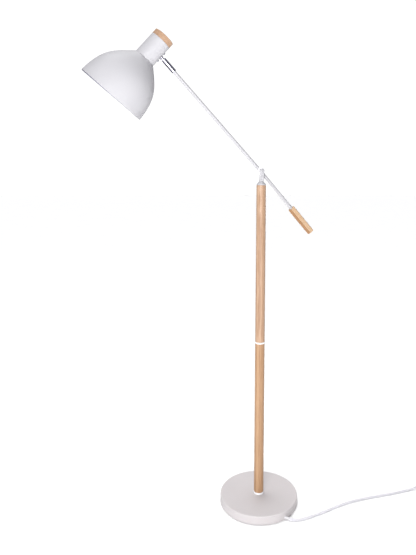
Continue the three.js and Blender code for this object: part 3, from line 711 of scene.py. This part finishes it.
def smooth_path(points, step):
    """Points about one step apart on a smooth curve through the given ones."""
    points = [Vector(point) for point in points]
    lengths = [(b - a).length for a, b in zip(points, points[1:])]
    slopes = [(b - a) / length for a, b, length in zip(points, points[1:], lengths)]
    ways = [slopes[0]]
    for i in range(1, len(points) - 1):
        before, after = lengths[i - 1], lengths[i]
        ways.append((slopes[i - 1] * after + slopes[i] * before) / (before + after))
    ways.append(slopes[-1])
    path = []
    for i, length in enumerate(lengths):
        parts = max(1, round(length / step))
        for part in range(parts):
            t = part / parts
            path.append(
                points[i] * (2 * t**3 - 3 * t**2 + 1)
                + ways[i] * length * (t**3 - 2 * t**2 + t)
                + points[i + 1] * (3 * t**2 - 2 * t**3)
                + ways[i + 1] * length * (t**3 - t**2)
            )
    path.append(points[-1])
    return path


def twisted(name, path, sides=8):
    """Strands that wind round the path, each made of rings that lie square to the path."""
    offset = CORD_RADIUS - STRAND_RADIUS
    strands = [[] for _ in range(STRANDS)]
    across = UP
    travelled = 0.0
    for i, here in enumerate(path):
        along = (path[min(i + 1, len(path) - 1)] - path[max(i - 1, 0)]).normalized()
        across = (across - along * across.dot(along)).normalized()
        beside = along.cross(across)
        travelled += (here - path[i - 1]).length if i else 0
        for k, strand in enumerate(strands):
            turn = 2 * math.pi * (travelled / CORD_LAY + k / STRANDS)
            centre = here + (across * math.cos(turn) + beside * math.sin(turn)) * offset
            line = []
            for a in circle(sides):
                line.append(centre + (across * math.cos(a) + beside * math.sin(a)) * STRAND_RADIUS)
            strand.append(line)
    made = [skin(name, rings, stand, capped=True) for rings in strands]
    return joined(made)


cord_path = smooth_path(front_route() + coil_route() + tail_route(), PATH_STEP)
cord = dress(
    twisted("mains_cord", cord_path),
    "stand",
    cord_braid,
    "cord_front",
    "cord_to_coil",
    "cord_coil",
    "cord_tail",
    sharp=60,
)


# ---- inline switch
BUTTON_RIM = 0.0015  # the button's flange inside the cover stands out this far


def switch_shells():
    """The lower and upper shell, and the collar round the button."""
    low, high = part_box("switch_base")
    half = (high - low) / 2
    place = over("switch_base")
    outline = oblong(-half.x, -half.y, half.x, half.y, 0.007)
    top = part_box("switch_cover")[1].z
    base = slab("switch_lower_shell", outline, low.z, high.z, 0.0018, place)
    cover = slab("switch_upper_shell", outline, high.z + GAP, top, 0.0026, place)
    inner = span("switch_button", place)[0] - BUTTON_RIM + 0.0004
    outer = inner + 0.0026
    inside = high.z + 0.001
    brim = top + 0.0006
    outline = rounded((inner, inside), (outer, inside), (outer, brim, 0.0004), (inner, brim, 0.0004))
    collar = turned("switch_collar", outline, place, 64)
    hole = bar("switch_hole", inner + 0.0002, inside, top + 0.01, place)
    shape(cover, "DIFFERENCE", hole)
    dress(base, "stand", white_plastic, "switch_base")
    dress(cover, "stand", white_plastic, "switch_cover")
    dress(collar, "stand", white_plastic)
    return [base, cover, collar]


def switch_button():
    """A round button with a flange inside the cover and a dished top."""
    place = over("switch_button")
    flange, _, low, high = span("switch_button", place)
    radius = flange - BUTTON_RIM
    bevel = 0.0012
    dish = 0.0009
    outline = [(0, low), (flange, low), (flange, low + BUTTON_RIM), (radius, low + BUTTON_RIM)]
    outline += [(radius, high - bevel), (radius - bevel / 3, high - bevel / 3), (radius - bevel, high)]
    for step in range(1, 9):
        share = 1 - step / 8
        outline.append(((radius - bevel) * share, high - dish * (1 - share * share)))
    button = turned("switch_push_button", outline, place, 64, looped=False)
    return dress(button, "switch_key", white_plastic, "switch_button")


def cord_grips():
    """Ribbed sleeves where the cord enters and leaves the switch."""
    low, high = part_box("switch_base")
    bore = 0.0034
    pitch = 0.0018
    ribs = 3
    outline = [(bore, -0.001)]
    for rib in range(ribs):
        outline += rounded_rib(0.0056 - 0.0004 * rib, pitch * rib)
    outline.append((bore, pitch * ribs))
    grips = []
    for name, x, way in (("switch_grip_in", low.x, -1), ("switch_grip_out", high.x, 1)):
        place = placed((x, SWITCH_LINE, SWITCH_ENTRY), (way, 0, 0), UP)
        grips.append(dress(turned(name, outline, place, 48), "stand", white_plastic))
    return grips


# ---- plug and coil ties
PIN_TIP = 0.009  # bare length at a pin's end
TIE_AZIMUTHS = (150, 262)  # degrees round the coil
TIE_WIDTH = 0.007
TIE_THICKNESS = 0.0007


def plug_outline():
    """The plug seen from above: a narrow neck that swells to a straight body."""
    low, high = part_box("plug_body")
    half = (high.x - low.x) / 2
    length = high.y - low.y
    neck = 0.005
    swell = 0.018  # from the neck's end to the straight body
    right = []
    for step in range(13):
        t = step / 12
        right.append(Vector((bezier(t, neck, 0.007, half, half), bezier(t, 0, 0.008, 0.008, swell))))
    corner = rounded((0, length), (0, swell), (half, swell), (half, length, 0.003))[3:]
    right += corner
    return right + [Vector((-point.x, point.y)) for point in reversed(right)]


def plug_pin(i):
    """A round pin with a bare steel tip and an insulated sleeve."""
    node = f"plug_pin_{i}"
    centre = middle(node)
    place = placed((centre.x, 0, centre.z), BACK, UP)
    outer, _, start, end = span(node, place)
    tip = end - PIN_TIP
    bare = outer * 0.95
    metal = rounded((0, tip - 0.001), (bare, tip - 0.001), (bare, end, 0.0012), (0, end))
    cover = rounded((0, start - 0.001), (outer, start - 0.001), (outer, tip, 0.0003), (0, tip))
    return [
        dress(turned(f"plug_pin_tip_{i}", metal, place, 32), "stand", steel, node),
        dress(turned(f"plug_pin_sleeve_{i}", cover, place, 32), "stand", white_plastic),
    ]


def plug():
    """The flat plug and its two pins."""
    low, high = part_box("plug_body")
    place = Matrix.Translation(((low.x + high.x) / 2, low.y, 0))
    body = slab("plug_shell", plug_outline(), low.z, high.z, 0.0028, place)
    return [dress(body, "stand", white_plastic, "plug_body")] + plug_pin(1) + plug_pin(2)


def coil_ties():
    """Narrow straps that hold the coil's turns together."""
    low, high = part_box("cord_coil")
    outer = (high.x - low.x) / 2
    inner = outer - (COIL_INWARD + 1) * 2 * CORD_RADIUS
    bottom = 0.00005
    top = high.z + TIE_THICKNESS
    outside = oblong(inner - TIE_THICKNESS, bottom, outer + TIE_THICKNESS, top, 0.003)
    heart = Vector(((inner + outer) / 2, (bottom + top) / 2))
    inside = [here + (heart - here).normalized() * TIE_THICKNESS for here in outside]
    edges = ((-1, inside), (-1, outside), (1, outside), (1, inside))
    rings = [[(x, y, way * TIE_WIDTH / 2) for x, y in line] for way, line in edges]
    ties = []
    for i, azimuth in enumerate(TIE_AZIMUTHS, 1):
        place = placed(over("cord_coil").translation, level(math.radians(azimuth - 90)), UP)
        ties.append(dress(skin(f"coil_tie_{i}", rings, place, looped=True), "stand", felt))
    return ties


on_cord = switch_shells() + cord_grips() + [switch_button()] + plug() + coil_ties()

# ---- base
COVER_SHEET = 0.0012
NOTCH_RADIUS = 0.0048  # of the way out of the base for the strain relief


def outlet_notch(length):
    """A round bar along the outlet, to cut the way for the strain relief."""
    return bar("notch", NOTCH_RADIUS, -length, length, outlet, 40)


def base_cover():
    """A pressed cover, open below, with a rounded top edge and a hemmed bottom edge."""
    outer, bore, low, high = span("base_cover", stand)
    inner = outer - COVER_SHEET
    outside = ((bore, high), (outer, high, 0.003), (outer, low, 0.0004))
    inside = ((inner, low, 0.0004), (inner, high - COVER_SHEET, 0.0018), (bore, high - COVER_SHEET))
    outline = rounded(*outside, *inside)
    cover = turned("base_shell", outline, stand, 192)
    dress(shape(cover, "DIFFERENCE", outlet_notch(0.018)), "stand", grey_paint, "base_cover")


def base_pad():
    """The felt disc under the base."""
    disc = sleeve("floor_pad", "base_pad", stand, 0.0006, 160, top=0.0004)
    dress(shape(disc, "DIFFERENCE", outlet_notch(0.024)), "stand", felt, "base_pad")


def strain_relief():
    """A ribbed taper from the base to the cord."""
    _, _, low, high = span("strain_relief", outlet)
    outer = 0.0045
    tip = 0.0038
    first_rib = 0.001
    ribs = 5
    pitch = (high - first_rib) / ribs
    outline = [(0, low), (outer, low), (outer, first_rib)]
    for rib in range(ribs):
        radius = outer + (tip - outer) * (rib + 0.5) / ribs
        outline += rounded_rib(radius, first_rib + pitch * rib, pitch * 0.62, 0.0006)
    outline.append((0, high))
    relief = turned("cord_strain_relief", outline, outlet, 48, looped=False)
    dress(relief, "stand", white_plastic, "strain_relief")


base_cover()
base_pad()
strain_relief()

# ---- pole
POST_RADIUS = 0.007  # of the stem, which turns in the pole's cap


def stave(name, node, turn, finish):
    """One wooden length of the pole, with its own run of grain."""
    outer, inner, low, high = span(node, stand)
    place = Matrix.Translation((0, 0, low)) @ Matrix.Rotation(math.radians(turn), 4, "Z")
    corners = rounded((inner, 0), (outer, 0, 0.0006), (outer, high - low, 0.0006), (inner, high - low))
    dress(turned(name, corners, place, 128), "stand", finish, node)


def pole_cap():
    """A low cone on the pole's end, with a skirt inside the wood."""
    outer, inner, low, high = span("pole_cap", stand)
    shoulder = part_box("upper_pole")[1].z + GAP
    roof = high - 0.008
    skirt = 0.0125
    skirt_inner = skirt - 0.002
    corners = rounded(
        (inner, high),
        (POST_RADIUS + 0.0008, high, 0.0006),
        (outer, shoulder + 0.0017, 0.0008),
        (outer, shoulder, 0.0003),
        (skirt, shoulder),
        (skirt, low),
        (skirt_inner, low),
        (skirt_inner, roof),
        (inner, roof),
    )
    dress(turned("pole_top_cap", corners, stand, 128), "stand", white_paint, "pole_cap")


dress(sleeve("foot_ring", "foot_collar", stand, 0.0003, 128, top=0.0013), "stand", painted_light_white, "foot_collar")
stave("lower_stave", "lower_pole", 20, ash_lower)
stave("upper_stave", "upper_pole", 205, ash)
dress(sleeve("joint_ring", "mid_ring", stand, 0.0005, 128), "stand", painted_light_white, "mid_ring")
pole_cap()

# ---- stem and pivot
BOLT_SHANK = 0.004  # radius
BOLT_HOLE = 0.0044


def swivel_stem():
    """A round post with a flat lug, whose rounded end is the eye of the pivot."""
    spigot_radius = 0.005
    bore = 0.0024
    low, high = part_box("swivel_stem")
    lug_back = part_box("front_washer")[0].y - GAP
    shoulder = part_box("pole_cap")[1].z + GAP
    lug_foot = shoulder + 0.0015
    post_top = lug_foot + 0.005
    corners = rounded(
        (bore, low.z),
        (spigot_radius, low.z),
        (spigot_radius, shoulder),
        (POST_RADIUS, shoulder, 0.0005),
        (POST_RADIUS, post_top, 0.0022),
        (bore, post_top),
    )
    post = turned("stem", corners, stand, 96)
    foot = lug_foot - pivot.z
    outline = [Vector((-POST_RADIUS, foot)), Vector((POST_RADIUS, foot))]
    outline += arc(0, 0, high.z - pivot.z, math.radians(-20), math.radians(200), 32)
    lug_place = placed((0, 0, pivot.z), -BACK, UP)
    lug = slab("lug", outline, -lug_back, -low.y, 0.0018, lug_place)
    shape(post, "UNION", lug)
    shape(post, "DIFFERENCE", bar("bolt_hole", BOLT_HOLE, -0.02, 0.02, lug_place))
    dress(post, "stem", white_paint, "swivel_stem")


def pivot_bolt():
    """A button head with a six-sided socket."""
    outer, _, low, high = span("pivot_bolt", pivot_stack)
    head_back = low + 0.0032
    crown = 0.0018
    bevel = 0.0006
    outline = [(0, low)] + arc(outer - crown, low + crown, crown, -math.pi / 2, 0, 6)
    outline += [(outer, head_back), (BOLT_SHANK, head_back), (BOLT_SHANK, high - bevel)]
    outline += [(BOLT_SHANK - bevel, high), (0, high)]
    bolt = turned("pivot_button_bolt", outline, pivot_stack, 64, looped=False)
    socket = slab("socket", hexagon(0.0026, 0.0002), low - 0.002, low + 0.0016, 0.0001, pivot_stack)
    dress(shape(bolt, "DIFFERENCE", socket), "stem", white_paint, "pivot_bolt")


swivel_stem()
pivot_bolt()
for washer in ("front_washer", "rear_washer"):
    dress(sleeve(washer + "_disc", washer, pivot_stack, 0.0002, 64), "stem", white_plastic, washer)
dress(hex_nut("pivot_hex_nut", "pivot_nut", pivot_stack, BOLT_SHANK + GAP), "stem", chrome, "pivot_nut")


# ---- arm
def pivot_hub():
    """A round boss that the tubes of the arm enter on both sides."""
    outer, _, low, high = span("pivot_hub", pivot_stack)
    corners = rounded((BOLT_HOLE, low), (outer, low, 0.0014), (outer, high, 0.0014), (BOLT_HOLE, high))
    hub = turned("arm_hub", corners, pivot_stack, 128)
    radius = span("upper_arm_tube", arm)[0] + GAP
    bottom = 0.0068
    upper = bar("upper_socket", radius, bottom, 0.03, arm)
    lower = bar("lower_socket", radius, -0.03, -bottom, lower_arm)
    dress(shape(hub, "DIFFERENCE", upper, lower), "arm", painted_light_white, "pivot_hub")


def grip():
    """A six-sided ash bar with softened edges, pushed onto the lower tube."""
    corner, _, low, high = span("grip", lower_arm)
    place = lower_arm @ Matrix.Translation((0, 0, low))
    wooden = slab("grip_bar", hexagon(corner, 0.0011, GRIP_TURN), 0, high - low, 0.0011, place)
    tube = span("lower_arm_tube", lower_arm)[0]
    bore = bar("grip_bore", tube + GAP, high - 0.062, high + 0.01, lower_arm)
    dress(shape(wooden, "DIFFERENCE", bore), "arm", ash_grip, "grip", sharp=50)


pivot_hub()
dress(sleeve("upper_tube", "upper_arm_tube", arm, 0.0003), "arm", painted_shade_white, "upper_arm_tube")
dress(sleeve("lower_tube", "lower_arm_tube", lower_arm, 0.0003), "arm", painted_shade_white, "lower_arm_tube")
grip()

# ---- ball joint
BALL_RADIUS = 0.0055
NECK_RADIUS = 0.0037
MOUTH = 0.0041  # half the width of the slot that the neck moves in


def ball_sleeve():
    """A chromed sleeve on the tube's end, with a slotted mouth that holds the ball."""
    outer, _, low, high = span("ball_sleeve", knuckle)
    tube = span("upper_arm_tube", arm)[0] + GAP
    tube_stop = low + 0.0203
    lead_bore = 0.0026
    lip = high - 0.002
    corners = rounded(
        (lead_bore, tube_stop),
        (tube, tube_stop),
        (tube, low),
        (outer, low, 0.0005),
        (outer, high, 0.0009),
        (MOUTH, high),
        (MOUTH, lip),
        (lead_bore, lip),
    )
    body = turned("knuckle_sleeve", corners, knuckle, 96)
    sphere = arc(0, 0, BALL_RADIUS + GAP, -math.pi / 2, math.pi / 2, 16)
    cavity = turned("cavity", sphere, knuckle, 48, looped=False)
    slot = block("slot", (-0.03, -MOUTH, -0.0002), (0.03, MOUTH, high + 0.01), knuckle)
    dress(shape(body, "DIFFERENCE", cavity, slot), "knuckle", chrome, "ball_sleeve")


def ball_stud():
    """A ball on a turned neck, bored for the lead."""
    _, bore, _, high = span("ball_stud", stud)
    bevel = 0.0005
    start = math.asin(bore / BALL_RADIUS) - math.pi / 2
    end = math.acos(NECK_RADIUS / BALL_RADIUS)
    outline = arc(0, 0, BALL_RADIUS, start, end, 14)
    outline += [(NECK_RADIUS, high - bevel), (NECK_RADIUS - bevel, high), (bore, high)]
    dress(turned("knuckle_ball", outline, stud, 64), "stud", chrome, "ball_stud")


ball_sleeve()
ball_stud()
for nut in ("stud_nut", "stud_locknut"):
    dress(hex_nut(nut + "_hex", nut, stud, NECK_RADIUS + GAP), "stud", chrome, nut)


# ---- head
def cup():
    """The can above the shade, with holes for its screws and the ball stud."""
    outer, bore, low, high = span("cup", head)
    sheet = 0.0012
    corners = rounded(
        (bore, low),
        (outer, low, 0.0008),
        (outer, high, 0.0005),
        (outer - sheet, high, 0.0004),
        (outer - sheet, low + sheet),
        (bore, low + sheet),
    )
    can = turned("head_can", corners, head, 160)
    sideways = placed(head.translation, head.to_3x3() @ Vector((1, 0, 0)), head_axis)
    holes = [bar("neck_hole", MOUTH, 0, 0.05, sideways)]
    for i in (1, 2):
        height = (head.inverted() @ middle(f"cup_screw_{i}")).z
        place = Matrix.Translation(head_axis * height) @ sideways
        holes.append(bar(f"screw_hole_{i}", 0.0023, 0, 0.05, place))
        cup_screw(i, place)
    dress(shape(can, "DIFFERENCE", *holes), "head", white_paint, "cup")


def cup_screw(i, place):
    """A dome-headed screw with a six-sided socket."""
    _, _, low, high = span(f"cup_screw_{i}", place)
    dome_radius = 0.004
    dome_height = 0.0024
    shank = 0.0019
    seat = high - dome_height
    outline = [(0, low), (shank - 0.0004, low), (shank, low + 0.0006), (shank, seat)]
    outline += arc(0, seat, dome_radius, 0, math.pi / 2, 8, dome_height)
    made = turned(f"dome_screw_{i}", outline, place, 48, looped=False)
    socket = slab("screw_socket", hexagon(0.0014, 0.0001), high - 0.0013, high + 0.001, 0.00005, place)
    dress(shape(made, "DIFFERENCE", socket), "head", chrome, f"cup_screw_{i}")


def cap_disc():
    """The ash disc that closes the can, with its grain across the head's axis."""
    outer, _, low, high = span("cap_disc", head)
    rim = span("cup", head)[3] + GAP
    spigot = outer - 0.0015
    corners = rounded(
        (0, low),
        (spigot, low, 0.0006),
        (spigot, rim),
        (outer, rim, 0.0004),
        (outer, high, 0.0024),
        (0, high),
    )
    disc = turned("wooden_cap", corners, head, 160)
    lying = placed(head.translation, head.to_3x3() @ Vector((0, 1, 0)), head_axis)
    disc.data.transform(lying.inverted() @ head)
    disc.matrix_world = lying
    dress(disc, "head", ash, "cap_disc")


cup()
cap_disc()

# ---- shade
DOME_SHEET = 0.001
DOME_STEPS = 48
WALL_LEAN = math.radians(4.4)  # of the dome at its rim, from the head's axis
WALL_REACH = 0.55  # how far that direction carries, as a share of the dome's depth
SHOULDER_SLOPE = math.radians(42.5)  # of the dome at the can, from level
SHOULDER_REACH = 0.49
COAT = 0.0002  # of the grey sheet inside the dome, which is painted shadow
# the band below is a grey sheet of painted shadow at the rim
SHADOW_BAND_WIDTH = 0.0012
SHADOW_BAND_PROUD = 0.0012  # the band of painted shadow inside the rim stands out of the shade this far
SHADOW_BAND_DEPTH = 0.005
SHADOW_BAND_LEAN = 0.02  # it stands out more on the side away from the arm


def dome_lines():
    """The dome's outer line from the rim to the can, and its inner line from the can to the rim."""
    radius, _, rim, top = span("shade", head)
    neck = span("cup", head)[0]
    wall = WALL_REACH * (top - rim)
    shoulder = SHOULDER_REACH * (top - rim)
    points = (
        Vector((radius, rim)),
        Vector((radius - wall * math.sin(WALL_LEAN), rim + wall * math.cos(WALL_LEAN))),
        Vector((neck + shoulder * math.cos(SHOULDER_SLOPE), top - shoulder * math.sin(SHOULDER_SLOPE))),
        Vector((neck, top)),
    )
    first, second, third = (b - a for a, b in zip(points, points[1:]))
    outside = []
    inside = []
    for i in range(DOME_STEPS + 1):
        t = i / DOME_STEPS
        along = (first * (1 - t) ** 2 + second * 2 * t * (1 - t) + third * t * t).normalized()
        outside.append(bezier(t, *points))
        inside.insert(0, outside[-1] + Vector((-along.y, along.x)) * DOME_SHEET)
    return outside, inside[1:]


def shade():
    """One smooth dome of thin sheet, with a rounded rim and a flat top inside the can."""
    radius, bore, rim, top = span("shade", head)
    neck_radius = span("cup", head)[0]
    outside, inside = dome_lines()
    under = top - DOME_SHEET
    flat = [Vector((bore, top)), Vector((bore, under)), Vector((neck_radius - 0.002, under))]
    half = DOME_SHEET / 2
    lip = arc(radius - half, rim, half, math.pi, 2 * math.pi, 6, half / 2)[1:-1]
    dome = turned("dome_shade", outside + flat + inside + lip, head, 224)
    dress(dome, "head", shade_paint, "shade", sharp=40)


def painted_shadow_lining():
    """A grey sheet inside the dome: painted shadow."""
    neck_radius = span("cup", head)[0]
    wet = [point for point in dome_lines()[1] if point.x > neck_radius]
    dry = [point - Vector((COAT, COAT)) for point in reversed(wet)]
    dress(turned("painted_shadow_lining", wet + dry, head, 224), "head", painted_shade_grey, sharp=40)


def painted_shadow_hem():
    """A grey band that shows at the rim, sheared so that it stands out more on one side: painted shadow of
    the dome's inside.
    """
    radius, _, rim, _ = span("shade", head)
    outer = radius - DOME_SHEET - 3 * COAT
    inner = outer - SHADOW_BAND_WIDTH
    edge = rim - SHADOW_BAND_PROUD
    deep = rim + SHADOW_BAND_DEPTH
    outline = rounded((inner, edge, 0.0004), (outer, edge, 0.0004), (outer, deep), (inner, deep))
    shadow_band = turned("painted_shadow_hem", outline, head, 224)
    shear = Matrix.Identity(4)
    shear[2][0] = SHADOW_BAND_LEAN
    shadow_band.data.transform(shear)
    dress(shadow_band, "head", painted_shade_grey)


shade()
painted_shadow_lining()
painted_shadow_hem()

# ---- lampholder and bulb
HOOD_WALL = 0.0014
THREAD_PITCH = 0.0036
THREAD_DEPTH = 0.0006
GLASS_WALL = 0.001
GLASS_NECK = 0.0122


def holder_cap():
    """The hood over the holder's wiring, narrower at its top."""
    outer, bore, low, high = span("holder_cap", head)
    roof = high - HOOD_WALL
    inner = outer - HOOD_WALL
    corners = rounded(
        (bore, high),
        (outer - 0.0064, high, 0.001),
        (outer, high - 0.007, 0.003),
        (outer, low, 0.0004),
        (inner, low),
        (inner, roof - 0.007, 0.002),
        (outer - 0.0074, roof),
        (bore, roof),
    )
    dress(turned("holder_hood", corners, head, 96), "head", white_plastic, "holder_cap")


def holder_body():
    """The ribbed skirt round the holder's insert."""
    outer, inner, low, high = span("holder_body", head)
    bevel = 0.0004
    outline = [(inner, low), (outer - bevel, low), (outer, low + bevel)]
    for rib in range(5):
        outline += rounded_rib(outer, low + 0.006 + rib * 0.0032, 0.0018)
    outline += [(outer, high - 0.006), (outer, high - bevel), (outer - bevel, high), (inner, high)]
    dress(turned("holder_skirt", outline, head, 96), "head", white_plastic, "holder_body")


def bulb_cap():
    """The bulb's cap, with a rolled thread that fades out at its tip."""
    outer, _, low, high = span("bulb_cap", head)
    levels = 60
    rings = [ring(0, low, 64)]
    for i in range(levels + 1):
        z = low + (high - 0.004 - low) * i / levels
        fade = min(1, (z - low) / 0.003)
        turn = []
        for a in circle(64):
            wave = (1 + math.sin(2 * math.pi * z / THREAD_PITCH - a)) / 2
            r = outer - THREAD_DEPTH * fade * wave
            turn.append((r * math.cos(a), r * math.sin(a), z))
        rings.append(turn)
    rings += [ring(outer - 0.0045, high, 64), ring(0, high, 64)]
    dress(skin("threaded_cap", rings, head), "head", steel, "bulb_cap")


def bulb_glass():
    """A round globe with a short neck, as thin glass."""
    radius, _, bottom, top = span("bulb_glass", head)
    centre = bottom + radius
    neck = math.acos(GLASS_NECK * 1.12 / radius)  # the angle at which the globe meets its neck
    outline = arc(0, centre, radius, -math.pi / 2, neck, 32)
    outline += [(GLASS_NECK, top - 0.001), (GLASS_NECK, top), (GLASS_NECK - GLASS_WALL, top)]
    outline += arc(0, centre, radius - GLASS_WALL, neck, -math.pi / 2, 32)
    dress(turned("opal_globe", outline, head, 96), "head", opal_glass, "bulb_glass")


holder_cap()
holder_body()
dress(sleeve("holder_core", "holder_insert", head, 0.0006, 64), "head", ceramic, "holder_insert")
dress(sleeve("thread_shell", "screw_shell", head, 0.0001, 64), "head", brass, "screw_shell")
dress(hex_nut("holder_hex_nut", "holder_nut", head, 0.0053), "head", steel, "holder_nut")
bulb_cap()
bulb_glass()

# ---- CAD nodes that stay
KEPT = {
    iron: "base_weight",
    steel: "base_washer base_nut lower_rod upper_rod rod_coupler rod_washer rod_nut "
    "stem_locknut cup_bracket holder_nipple",
    white_plastic: "stand_lead arm_lead head_lead",
    brass: "centre_contact",
}
for finish, nodes in KEPT.items():
    for node in nodes.split():
        kept = frame["nodes"][node]
        kept.data.materials.clear()
        kept.data.materials.append(finish.material)
        kept.data.set_sharp_from_angle(angle=math.radians(30))

# ---- floor and light
FLOOR_HALF = 30  # half the floor's side
ROOM_LIGHT = 0.2  # strength of the dim light from all sides
REFLECTED_ROOM = 0.45  # strength of the room that glossy pieces mirror
BACKDROP = 1.1
VIEW_AZIMUTH = 270 + CAMERA_TURN  # degrees from +X to the viewer's side


def floor():
    """A plain pale floor, wide enough to meet the white backdrop."""
    finish = Finish("floor")
    clouds = finish.noise(3, detail=2)
    finish.colour(finish.ramp(clouds, (0.3, (0.93, 0.93, 0.93, 1)), (0.7, (0.95, 0.95, 0.95, 1))))
    finish.set("Roughness", 0.9)
    mesh = bpy.data.meshes.new("ground")
    corners = [(x * FLOOR_HALF, y * FLOOR_HALF, 0) for x, y in ((-1, -1), (1, -1), (1, 1), (-1, 1))]
    mesh.from_pydata(corners, [], [(0, 1, 2, 3)])
    mesh.materials.append(finish.material)
    added("ground", mesh)


def broad_light(name, azimuth, elevation, irradiance, spread):
    """Light from far away, from a round patch of the sky that is spread degrees across."""
    data = bpy.data.lights.new(name, "SUN")
    data.energy = irradiance
    data.angle = math.radians(spread)
    rise = math.radians(elevation)
    source = level(math.radians(azimuth)) * math.cos(rise) + UP * math.sin(rise)
    added(name, data).rotation_euler = source.to_track_quat("Z", "Y").to_euler()


def softbox(name, azimuth, distance, height, size, power):
    """A square panel of light that stands at that height and faces the pole."""
    data = bpy.data.lights.new(name, "AREA")
    data.shape = "SQUARE"
    data.size = size
    data.energy = power
    away = level(math.radians(azimuth))
    added(name, data).matrix_world = placed(away * distance + UP * height, away, UP)


def surroundings():
    """White behind the object, a grey room in its reflections, and a dim light from all sides."""
    world = bpy.data.worlds.new("room")
    bpy.context.scene.world = world
    world.use_nodes = True
    nodes, links = world.node_tree.nodes, world.node_tree.links
    ray = nodes.new("ShaderNodeLightPath")

    def room(strength, colour):
        made = nodes.new("ShaderNodeBackground")
        made.inputs["Color"].default_value = colour
        made.inputs["Strength"].default_value = strength
        return made.outputs["Background"]

    def either(test, others, these):
        made = nodes.new("ShaderNodeMixShader")
        links.new(ray.outputs[test], made.inputs["Fac"])
        links.new(others, made.inputs[1])
        links.new(these, made.inputs[2])
        return made.outputs["Shader"]

    dim = room(ROOM_LIGHT, (0.96, 0.96, 1, 1))
    mirrored = room(REFLECTED_ROOM, (0.94, 0.94, 1, 1))
    white = room(BACKDROP, (1, 1, 1, 1))
    seen = either("Is Camera Ray", either("Is Glossy Ray", dim, mirrored), white)
    links.new(seen, nodes["World Output"].inputs["Surface"])


floor()
surroundings()
softbox("front", VIEW_AZIMUTH - 13, distance=2.2, height=0.8, size=0.9, power=53)
broad_light("overhead", VIEW_AZIMUTH + 202, elevation=75, irradiance=2.8, spread=40)
broad_light("side", VIEW_AZIMUTH + 80, elevation=20, irradiance=0.22, spread=9)
bpy.context.scene.view_settings.view_transform = "Standard"
